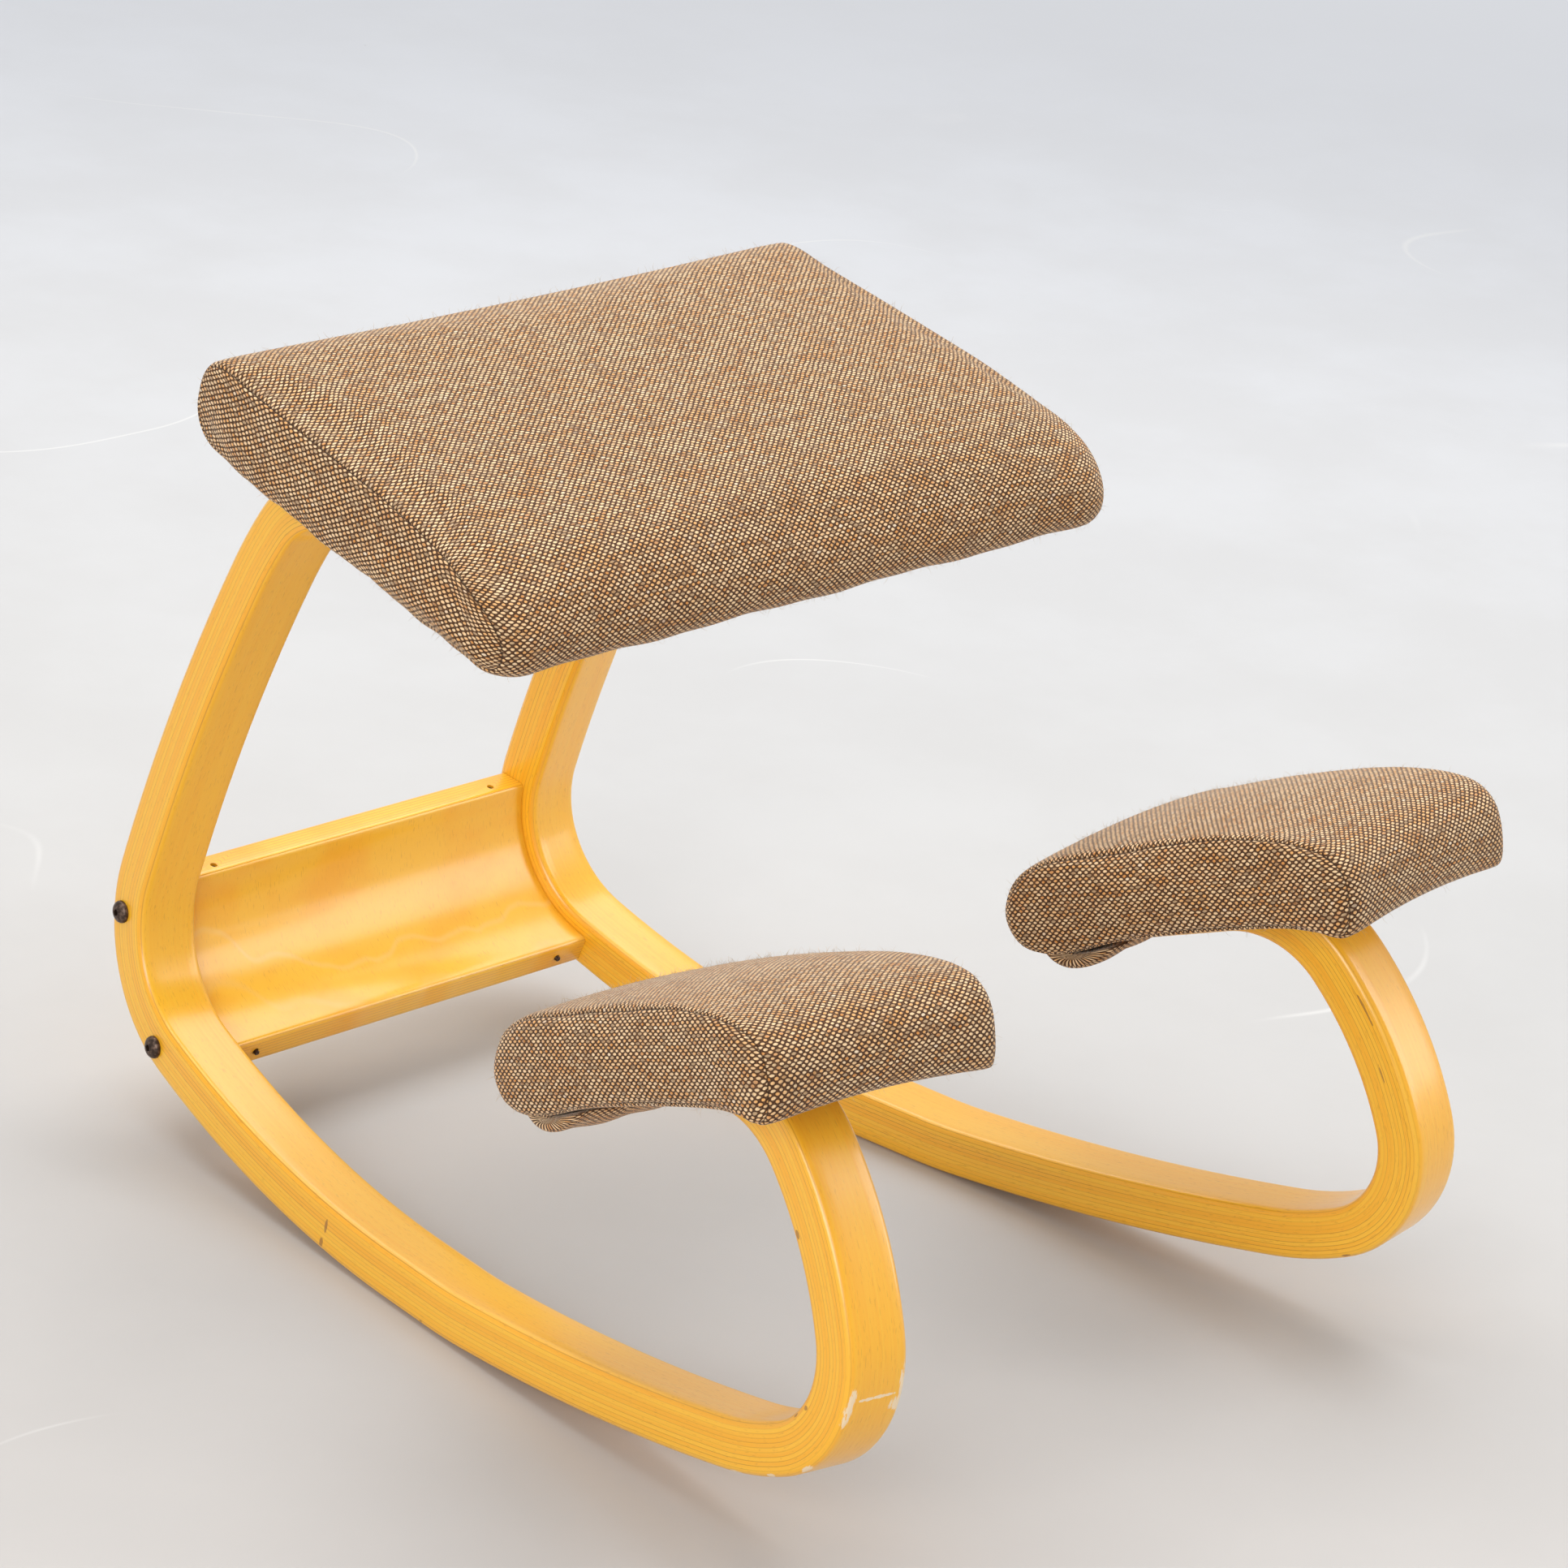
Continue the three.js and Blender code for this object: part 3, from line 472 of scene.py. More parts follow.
@dataclass(frozen=True)
class LacqueredWood:
    """Honey-coloured lacquer on laminated wood.

    A pitch says how often a noise changes in a metre: along the grain, across it and out through the plies.
    A rise says where a mask starts, where it is full, and its full share.
    """

    name: str
    thick: float
    plies: float
    middle: float = 0.0
    pale: Triple = (1.00, 0.54, 0.030)
    deep: Triple = (0.95, 0.37, 0.002)
    line: Triple = (0.56, 0.22, 0.008)
    bare: Triple = (0.92, 0.76, 0.54)
    stain: Triple = (0.26, 0.085, 0.02)
    vein: Triple = (0.98, 0.62, 0.20)
    streaks: float = 1.0
    contrast: float = 0.55
    glue: float = 0.25
    figure: bool = False
    worn: tuple[WornSpot, ...] = ()
    marks: tuple[WornSpot, ...] = ()
    first_ply: float = 40.5
    ply_drift: float = 0.0006
    drift_pitch: Triple = (9.0, 30.0, 0.0)
    streak_pitch: Triple = (7.0, 620.0, 900.0)
    broad_pitch: Triple = (5.0, 60.0, 70.0)
    pore_pitch: Triple = (190.0, 1500.0, 1500.0)
    torn_pitch: Triple = (60.0, 260.0, 1.0)
    torn: float = 2.2
    torn_back: float = 1.05
    spot_edge: Pair = (0.62, 0.80)
    tone_shares: Triple = (0.55, 0.45, 0.30)
    tone_range: Pair = (0.30, 0.75)
    glue_edge: Pair = (0.36, 0.50)
    glue_gaps: Pair = (0.35, 0.70)
    glue_most: float = 0.85
    pore_rise: Triple = (0.62, 0.72, 0.34)
    rough: float = 0.30
    rough_streaks: float = 0.12
    rough_bare: float = 0.35
    bare_share: float = 0.85
    stain_share: float = 0.7
    relief: Pair = (0.6, -0.8)
    relief_high: float = 0.00012
    relief_share: float = 0.5
    coat: float = 0.60
    coat_rough: float = 0.20
    shine: float = 0.45

    def spot(self, g: Graph, grain: tuple[Socket, ...], spot: WornSpot) -> Socket:
        """How close a point is to the middle of a spot.

        Args:
            g: The material's nodes.
            grain: The point along, across and out.
            spot: The spot.

        Returns:
            A value from 0 at the spot's edge to 1 in its middle.
        """
        offs = [g.minus(value, at) for value, at in zip(grain, spot.place)]
        squares = [g.squared(g.over(off, reach)) for off, reach in zip(offs, spot.reach)]
        return g.minus(1.0, reduce(g.plus, squares), clamp=True)

    def spots(self, g: Graph, grain: tuple[Socket, ...], every: tuple[WornSpot, ...], torn: Socket) -> Socket:
        """The mask of several spots, with edges torn by a noise."""
        found = reduce(g.larger, [self.spot(g, grain, one) for one in every])
        return g.span(g.plus(found, torn), *self.spot_edge)

    def material(self) -> Finish:
        """Makes the material.

        Returns:
            The material, which reads the grain vector along, across and out.
        """
        g = Graph(self.name)
        grain = g.parts(g.node("ShaderNodeAttribute", attribute_name=GRAIN).outputs["Vector"])
        along, across, out = grain
        drift = g.times(g.centred(g.drawn(grain, self.drift_pitch, 3.0)), self.ply_drift)
        depth = g.plus(g.minus(out, self.middle), drift)
        layer = g.plus(g.times(depth, (self.plies - 1.0) / self.thick), self.first_ply)
        tone = g.white(g.math("FLOOR", layer), 3.0, 7.0).outputs["Value"]
        fine = g.stretched(grain, self.streak_pitch)
        streak = g.noise(fine, 1.0, 3.0, 0.6)
        broad = g.drawn(grain, self.broad_pitch)
        of_streaks, of_broad, of_tone = self.tone_shares
        share = g.weighed((streak, broad, g.centred(tone)), (of_streaks * self.streaks, of_broad, of_tone))
        share = g.span(share, *self.tone_range)
        colour = g.mix(g.times(share, self.contrast), self.pale, self.deep)
        glue = g.span(g.from_zero(g.centred(g.math("FRACT", layer))), *self.glue_edge)
        glue = g.times(glue, g.span(g.noise(fine, 0.35), *self.glue_gaps, self.glue, self.glue_most))
        colour = g.mix(glue, colour, self.line)
        colour = g.mix(g.mask(g.drawn(grain, self.pore_pitch, 1.0), self.pore_rise), colour, self.line)
        if self.figure:
            colour = self.wavy(g, colour, along, across)
        torn = g.minus(g.times(g.drawn(grain, self.torn_pitch, 4.0, 0.7), self.torn), self.torn_back)
        rough = g.plus(self.rough, g.times(streak, self.rough_streaks))
        if self.worn:
            rubbed = self.spots(g, grain, self.worn, torn)
            colour = g.mix(g.times(rubbed, self.bare_share), colour, self.bare)
            rough = g.plus(rough, g.times(rubbed, self.rough_bare))
        if self.marks:
            stained = self.spots(g, grain, self.marks, torn)
            colour = g.mix(g.times(stained, self.stain_share), colour, self.stain)
        relief = g.bump(g.weighed((streak, glue), self.relief), self.relief_high, self.relief_share)
        return g.surface(
            Base_Color=colour, Roughness=rough, Normal=relief, Coat_Weight=self.coat,
            Coat_Roughness=self.coat_rough, Specular_IOR_Level=self.shine,
        )

    def wavy(self, g: Graph, colour: Socket, along: Socket, across: Socket) -> Socket:
        """A veneer's pale wandering lines and darker clouds over a colour.

        Args:
            g: The material's nodes.
            colour: The colour beneath.
            along: The place along the grain.
            across: The place across the grain.

        Returns:
            The colour with its figure.
        """
        line_at, second_off = 0.205, 0.034
        line_wide, second_wide, second_share = 0.0035, 0.006, 0.6
        sway = g.drawn((across, 0.3, 5.0), (7.0, 1.0, 1.0), 3.0, 0.55)
        lean = g.drawn((across, 4.3, 1.0), (26.0, 1.0, 1.0))
        off = g.minus(g.minus(along, line_at), g.weighed((sway, lean), (0.16, 0.022)))
        first = g.span(g.from_zero(off), 0.0, line_wide, 1.0, 0.0)
        second = g.span(g.from_zero(g.plus(off, second_off)), 0.0, second_wide, second_share, 0.0)
        cloud = g.drawn((across, along, 2.0), (16.0, 22.0, 1.0), 3.0, 0.55)
        colour = g.mix(g.mask(cloud, (0.40, 0.72, 0.55)), colour, self.deep)
        return g.mix(g.times(g.larger(first, second), self.pore_rise[2]), colour, self.vein)


@dataclass(frozen=True)
class Tweed:
    """Coarse plain-woven wool: pale yarn dots over a dark warp.

    A pitch says how often a noise changes in a metre of cloth. A rise says where a mask starts, where it is
    full, and its full share.
    """

    name: str = "tweed"
    warp: float = 0.00217
    weft: float = 0.00166
    dark: Triple = (0.036, 0.016, 0.009)
    dusk: Triple = (0.17, 0.080, 0.036)
    pale: Triple = (1.00, 0.71, 0.41)
    sand: Triple = (0.90, 0.46, 0.16)
    rust: Triple = (0.66, 0.23, 0.035)
    white: Triple = (0.98, 0.86, 0.68)
    # Painted shade: the dark colour laid along the seam mark, for the shade in each seam's groove.
    seam: Triple = (0.035, 0.018, 0.010)
    sheen_tint: Triple = (0.98, 0.80, 0.66)
    waver: float = 0.0013
    waver_pitch: float = 160.0
    bead_narrow: float = 0.26
    bead_spread: float = 0.13
    bead_high: float = 0.50
    bead_edge: Pair = (0.35, 1.15)
    warp_full: float = 1.7
    yarn_length: float = 0.019
    heather_pitch: float = 55.0
    light_shares: Triple = (0.45, 0.30, 0.55)
    light_range: Pair = (0.30, 0.85)
    rust_pitch: float = 140.0
    rust_rise: Triple = (0.60, 0.72, 0.35)
    rust_picks: Triple = (0.93, 0.95, 0.6)
    slub_pitch: Triple = (150.0, 320.0, 1.0)
    slub_rise: Triple = (0.66, 0.78, 0.6)
    white_picks: Triple = (0.988, 0.992, 0.55)
    dusk_picks: Triple = (0.86, 0.93, 0.55)
    fibre_pitch: Triple = (900.0, 2600.0, 0.0)
    fibre_rise: Triple = (0.3, 0.75, 0.22)
    fibre_range: Pair = (0.35, 0.7)
    smudge_pitch: float = 90.0
    smudge_rise: Triple = (0.52, 0.74, 0.40)
    seam_rise: Triple = (0.30, 0.95, 0.80)
    relief: Triple = (0.8, 0.25, 0.25)
    relief_high: float = 0.0006
    relief_share: float = 0.8
    rough: float = 0.95
    shine: float = 0.2
    sheen: float = 0.55
    sheen_rough: float = 0.35

    def laid(self, g: Graph, flat: Socket) -> tuple[Socket, Socket]:
        """The two ways of the cloth, with yarns that waver a little.

        Args:
            g: The material's nodes.
            flat: The cloth map in metres.

        Returns:
            The places along a row of dots and across the rows.
        """
        noise = g.node("ShaderNodeTexNoise", {"Vector": flat, "Scale": self.waver_pitch, "Detail": 2.0})
        middle = {0: noise.outputs["Color"], 1: (0.5, 0.5, 0.5)}
        waver = g.node("ShaderNodeVectorMath", middle, operation="SUBTRACT").outputs[0]
        waver = g.node("ShaderNodeVectorMath", {0: waver, "Scale": self.waver}, operation="SCALE").outputs[0]
        laid = g.node("ShaderNodeVectorMath", {0: flat, 1: waver}, operation="ADD").outputs[0]
        x, y, _ = g.parts(laid)
        return x, y

    def weft_colour(self, g: Graph, flat: Socket, ways: tuple[Socket, Socket], yarn: Socket, pick) -> Socket:
        """The colour of the pale dots, with rusty, whitish and dusky ones among them.

        Args:
            g: The material's nodes.
            flat: The cloth map in metres.
            ways: The places along a row and across the rows.
            yarn: A chance for each length of yarn.
            pick: The White Noise node of each dot.

        Returns:
            The colour.
        """
        dusky, rusty, whitish = g.parts(pick.outputs["Color"])
        heather = g.noise(flat, self.heather_pitch, 4.0, 0.6)
        light = g.weighed((yarn, pick.outputs["Value"], heather), self.light_shares)
        colour = g.mix(g.span(light, *self.light_range), self.sand, self.pale)
        patches = g.mask(g.noise(flat, self.rust_pitch), self.rust_rise)
        colour = g.mix(g.larger(patches, g.mask(rusty, self.rust_picks)), colour, self.rust)
        slub = g.mask(g.drawn((*ways, 9.0), self.slub_pitch), self.slub_rise)
        colour = g.mix(g.larger(slub, g.mask(whitish, self.white_picks)), colour, self.white)
        return g.mix(g.mask(dusky, self.dusk_picks), colour, self.dusk)

    def material(self) -> Finish:
        """Makes the material.

        Returns:
            The material, which reads the cloth map and the seam mark, along which it paints shade into the seam
            grooves.
        """
        g = Graph(self.name)
        flat = g.node("ShaderNodeUVMap", uv_map=CLOTH_MAP).outputs[0]
        x, y = self.laid(g, flat)
        rows = g.over(y, self.weft)
        row = g.math("FLOOR", rows)
        odd = g.times(g.math("FLOORED_MODULO", row, 2.0), 0.5)
        cells = g.plus(g.over(x, 2.0 * self.warp), odd)
        across = g.centred(g.math("FRACT", cells))
        up = g.centred(g.math("FRACT", rows))
        pick = g.white(g.math("FLOOR", cells), row)
        width = g.plus(self.bead_narrow, g.times(pick.outputs["Value"], self.bead_spread))
        reach = g.plus(g.squared(g.over(across, width)), g.squared(g.over(up, self.bead_high)))
        bead = g.span(reach, *self.bead_edge, 1.0, 0.0)
        strand = g.centred(g.math("FRACT", g.plus(g.times(cells, 2.0), 0.5)))
        warp_round = g.minus(1.0, g.squared(g.times(strand, self.warp_full)), clamp=True)
        yarn = g.white(row, g.math("FLOOR", g.over(x, self.yarn_length)), 5.0).outputs["Value"]
        fibre = g.drawn((x, y, 0.0), self.fibre_pitch)
        weft_colour = self.weft_colour(g, flat, (x, y), yarn, pick)
        warp_colour = g.mix(g.times(warp_round, g.span(fibre, *self.fibre_range)), self.dark, self.dusk)
        colour = g.mix(bead, warp_colour, weft_colour)
        colour = g.mix(g.mask(fibre, self.fibre_rise), colour, self.dusk)
        smudge = g.noise(flat, self.smudge_pitch, 3.0, 0.65)
        colour = g.mix(g.mask(smudge, self.smudge_rise), colour, self.dusk)
        # Painted shade: darkens the colour along the seam mark, where the seam's groove lies in shade.
        seam = g.node("ShaderNodeAttribute", attribute_name=SEAM_SHADE).outputs["Fac"]
        colour = g.mix(g.mask(seam, self.seam_rise), colour, self.seam)
        height = g.weighed((bead, warp_round, fibre), self.relief)
        relief = g.bump(height, self.relief_high, self.relief_share)
        return g.surface(
            Base_Color=colour, Roughness=self.rough, Normal=relief, Specular_IOR_Level=self.shine,
            Sheen_Weight=self.sheen, Sheen_Roughness=self.sheen_rough, Sheen_Tint=self.sheen_tint,
        )


@dataclass(frozen=True)
class BronzedSteel:
    """Dark-brown oiled steel with rubbed high spots."""

    name: str = "bronzed_steel"
    colour: Triple = (0.060, 0.038, 0.028)
    rubbed: Triple = (0.20, 0.13, 0.095)
    patch_pitch: float = 420.0
    grain_pitch: float = 2600.0
    rubbed_range: Pair = (0.42, 0.72)
    rough_range: Pair = (0.30, 0.48)
    metal: float = 0.75

    def material(self) -> Finish:
        """Makes the material.

        Returns:
            The material, on Object coordinates.
        """
        g = Graph(self.name)
        where = g.node("ShaderNodeTexCoord").outputs["Object"]
        patch = g.noise(where, self.patch_pitch, 4.0, 0.6)
        colour = g.mix(g.span(patch, *self.rubbed_range), self.colour, self.rubbed)
        rough = g.span(patch, 0.3, 0.7, *self.rough_range)
        relief = g.bump(g.noise(where, self.grain_pitch), 0.00003, 0.6)
        return g.surface(Base_Color=colour, Roughness=rough, Metallic=self.metal, Normal=relief)


@dataclass(frozen=True)
class PlainFinish:
    """A quiet finish for a piece that shows little: a colour with fine variation."""

    name: str
    low: Triple
    high: Triple
    scale: float
    rough: float
    metal: float = 0.0
    stretch: Triple = (1.0, 1.0, 1.0)
    rough_spread: float = 0.08

    def material(self) -> Finish:
        """Makes the material.

        Returns:
            The material, on Object coordinates.
        """
        g = Graph(self.name)
        where = g.node("ShaderNodeTexCoord").outputs["Object"]
        laid = g.node("ShaderNodeMapping", {"Vector": where, "Scale": self.stretch}).outputs[0]
        spread = g.noise(laid, self.scale, 4.0, 0.6)
        colour = g.mix(g.span(spread, 0.3, 0.7), self.low, self.high)
        rough = g.span(spread, 0.2, 0.8, self.rough - self.rough_spread, self.rough + self.rough_spread)
        relief = g.bump(spread, 0.0001, 0.4)
        return g.surface(Base_Color=colour, Roughness=rough, Metallic=self.metal, Normal=relief)


# Runner


@dataclass(frozen=True)
class Leg:
    """One arc or straight of a centreline: a radius and a turn in degrees, or a length."""

    radius: float = 0.0
    turn: float = 0.0
    length: float = 0.0


@dataclass
class Path:
    """Stations along half of a runner's centreline, in the runner's own upright plane."""

    y: np.ndarray
    z: np.ndarray
    heading: np.ndarray
    run: np.ndarray
    way: Way

    def at(self, run: float) -> Triple:
        """The y, z and heading after some length of the path."""
        return tuple(float(np.interp(run, self.run, row)) for row in (self.y, self.z, self.heading))

    def section(self, run: float, across: float, out: float) -> Vector:
        """A point of the section after some length of the path."""
        return Vector(self.sections(run, np.array([[across, out]]))[0])

    def sections(self, run: float, rows: np.ndarray) -> np.ndarray:
        """Points of the section after some length of the path.

        Args:
            run: The length.
            rows: How far across and out each point lies.

        Returns:
            The points, one a row.
        """
        y, z, heading = self.at(run)
        across, out = rows.T
        out = self.way.value * out
        return np.stack([across, y - out * math.sin(heading), z + out * math.cos(heading)], 1)


@dataclass
class Runner:
    """One continuous lamination: seat rail, rear leg, rocker, front loop and pad rail."""

    stance: float = 0.418
    wide: float = 0.039
    thick: float = 0.029
    edge: float = 0.0045
    end_ease: float = 0.0015
    splay: float = 6.6
    lean: float = 2.3
    pad_slope: float = 23.5
    seat_slope: float = 10.1
    pad_rail: float = 0.056
    seat_rail: float = 0.128
    front_legs: tuple[Leg, ...] = (
        Leg(length=0.010), Leg(0.350, 4.4), Leg(1.470, 8.6), Leg(0.181, 15.0), Leg(0.059, 83.4),
        Leg(0.207, 26.8),
    )
    rear_legs: tuple[Leg, ...] = (
        Leg(length=0.028), Leg(0.655, 19.6), Leg(0.078, 84.4), Leg(1.165, 10.7), Leg(0.300, 7.4),
    )
    loop_top_radius: float = 0.069
    top_bend_radius: float = 0.060
    pitch: float = 0.0045
    corner_steps: int = 6
    flat_steps: int = 4
    sharp: float = 50.0
    front: Path = field(init=False)
    rear: Path = field(init=False)
    upright: Matrix = field(init=False)
    leaning: Matrix = field(init=False)
    seat_place: Matrix = field(init=False)
    pad_place: Matrix = field(init=False)

    def __post_init__(self) -> None:
        """Works out the two halves of the path and the frames of the seat and the pads."""
        loop_turn = 180 + self.pad_slope - sum(leg.turn for leg in self.front_legs)
        top_turn = 180 + self.seat_slope - sum(leg.turn for leg in self.rear_legs)
        front_end = (Leg(self.loop_top_radius, loop_turn), Leg(length=self.pad_rail))
        rear_end = (Leg(self.top_bend_radius, top_turn), Leg(length=self.seat_rail))
        self.front = self.walk(Way.FRONT, (*self.front_legs, *front_end))
        self.rear = self.walk(Way.REAR, (*self.rear_legs, *rear_end))
        spread = Matrix.Translation((-self.stance / 2, 0.0, 0.0))
        upright = spread @ Matrix.Rotation(-math.radians(self.splay), 4, "Z")
        leaning = upright @ Matrix.Rotation(math.radians(self.lean), 4, "Y")
        rail_end = self.rear.run[-1]
        tops = [
            leaning @ self.rear.section(run, self.wide / 2, self.thick / 2)
            for run in (rail_end - self.seat_rail, rail_end)
        ]
        tilt = math.atan2(tops[0].z - tops[1].z, tops[0].y - tops[1].y)
        seat = Matrix.Translation((0.0, tops[0].y, tops[0].z)) @ Matrix.Rotation(tilt, 4, "X")
        middle = self.front.section(self.front.run[-1] - self.pad_rail / 2, self.wide / 2, self.thick / 2)
        middle = upright.inverted() @ (leaning @ middle)
        pad = upright @ Matrix.Translation(middle) @ Matrix.Rotation(-math.radians(self.pad_slope), 4, "X")
        self.upright, self.leaning = CHAIR_SHIFT @ upright, CHAIR_SHIFT @ leaning
        self.seat_place, self.pad_place = CHAIR_SHIFT @ seat, CHAIR_SHIFT @ pad

    def walk(self, way: Way, legs: tuple[Leg, ...]) -> Path:
        """Lays stations along arcs and straights from the floor contact.

        Args:
            way: Which half of the runner.
            legs: Its arcs and straights in order.

        Returns:
            The path.
        """
        turn_way = -way.value
        heading = math.pi if way is Way.FRONT else 0.0
        y, z, run = 0.0, self.thick / 2, 0.0
        rows = [(y, z, heading, run)]
        for leg in legs:
            length = leg.length or leg.radius * math.radians(leg.turn)
            steps = max(2, math.ceil(length / self.pitch))
            step = length / steps
            bend = 0.0 if leg.length else turn_way * math.radians(leg.turn) / steps
            chord = step if leg.length else 2 * leg.radius * math.sin(abs(bend) / 2)
            for _ in range(steps):
                y += chord * math.cos(heading + bend / 2)
                z += chord * math.sin(heading + bend / 2)
                heading += bend
                run += step
                rows.append((y, z, heading, run))
        return Path(*np.array(rows).T, way)

    def outline(self, shrink: float) -> np.ndarray:
        """The rounded section.

        Args:
            shrink: How far it is set in all round.

        Returns:
            Rows of across and out.
        """
        half_x, half_out = self.wide / 2 - shrink, self.thick / 2 - shrink
        corners = []
        for quarter, (sx, so) in enumerate(((1, 1), (-1, 1), (-1, -1), (1, -1))):
            angle = (quarter + np.linspace(0.0, 1.0, self.corner_steps + 1)) * math.pi / 2
            across = self.wide / 2 + sx * (half_x - self.edge) + self.edge * np.cos(angle)
            corners.append(np.stack([across, so * (half_out - self.edge) + self.edge * np.sin(angle)], 1))
        rows = []
        for i, corner in enumerate(corners):
            follows = corners[(i + 1) % 4]
            shares = np.linspace(0.0, 1.0, self.flat_steps + 2)[1:-1, None]
            rows += [corner, corner[-1] * (1 - shares) + follows[0] * shares]
        return np.concatenate(rows)

    def rings(self) -> tuple[np.ndarray, np.ndarray]:
        """Every ring of the runner and its grain, from the seat rail's end to the pad rail's end."""
        full, eased = self.outline(0.0), self.outline(self.end_ease)
        points, grain = [], []
        for path, order in ((self.rear, -1), (self.front, 1)):
            last = path.run[-1]
            inner = [run for run in path.run[1:-1] if last - run > 1.5 * self.end_ease]
            stops = [(run, full) for run in inner] + [(last - self.end_ease, full), (last, eased)]
            for run, rows in stops[::order]:
                points.append(path.sections(run, rows))
                grain.append(np.column_stack([np.full(len(rows), path.way.value * run), rows]))
        return np.array(points), np.array(grain)

    def planed(self, points: np.ndarray, shell: "PadShell") -> np.ndarray:
        """Planes the seat rail flat under the board and cuts the pad rail to the shell.

        Args:
            points: The left runner's points in the chair.
            shell: The pad's shell.

        Returns:
            The points after both cuts.
        """
        rail_rear, pad_front, pad_rear, pad_low = 0.06, -0.12, 0.05, -0.02
        in_seat = moved(points, self.seat_place.inverted())
        rail = in_seat[:, 1] < rail_rear
        in_seat[rail, 2] = np.minimum(in_seat[rail, 2], 0.0)
        in_pad = moved(moved(in_seat, self.seat_place), self.pad_place.inverted())
        _, y, z = in_pad.T
        near = (y > pad_front) & (y < pad_rear) & (z > pad_low)
        in_pad[near, 2] = np.minimum(z[near], shell.underside(y[near]) - shell.fit)
        return moved(in_pad, self.pad_place)

    def build(self, side: Side, shell: "PadShell", spot_faces: list) -> Piece:
        """Makes one runner.

        Args:
            side: The half of the chair.
            shell: The pad's shell, which the rail is cut to.
            spot_faces: The recesses of the bolt heads under the two rails of the left runner.

        Returns:
            The runner.
        """
        points, grain = self.rings()
        flat_points = self.planed(moved(points.reshape(-1, 3), self.leaning), shell)
        faces = capped_faces(*points.shape[:2])
        piece = mesh_object(f"{side.word}_runner_wood", flat_points, faces, self.sharp)
        bored(piece, spot_faces)
        set_vectors(piece, GRAIN, grain.reshape(-1, 3)[nearest_rows(flat_points, places(piece))])
        piece.data.transform(side.turn)
        if side is Side.RIGHT:
            piece.data.flip_normals()
        smooth(piece, self.sharp)
        return piece


# Cross panel


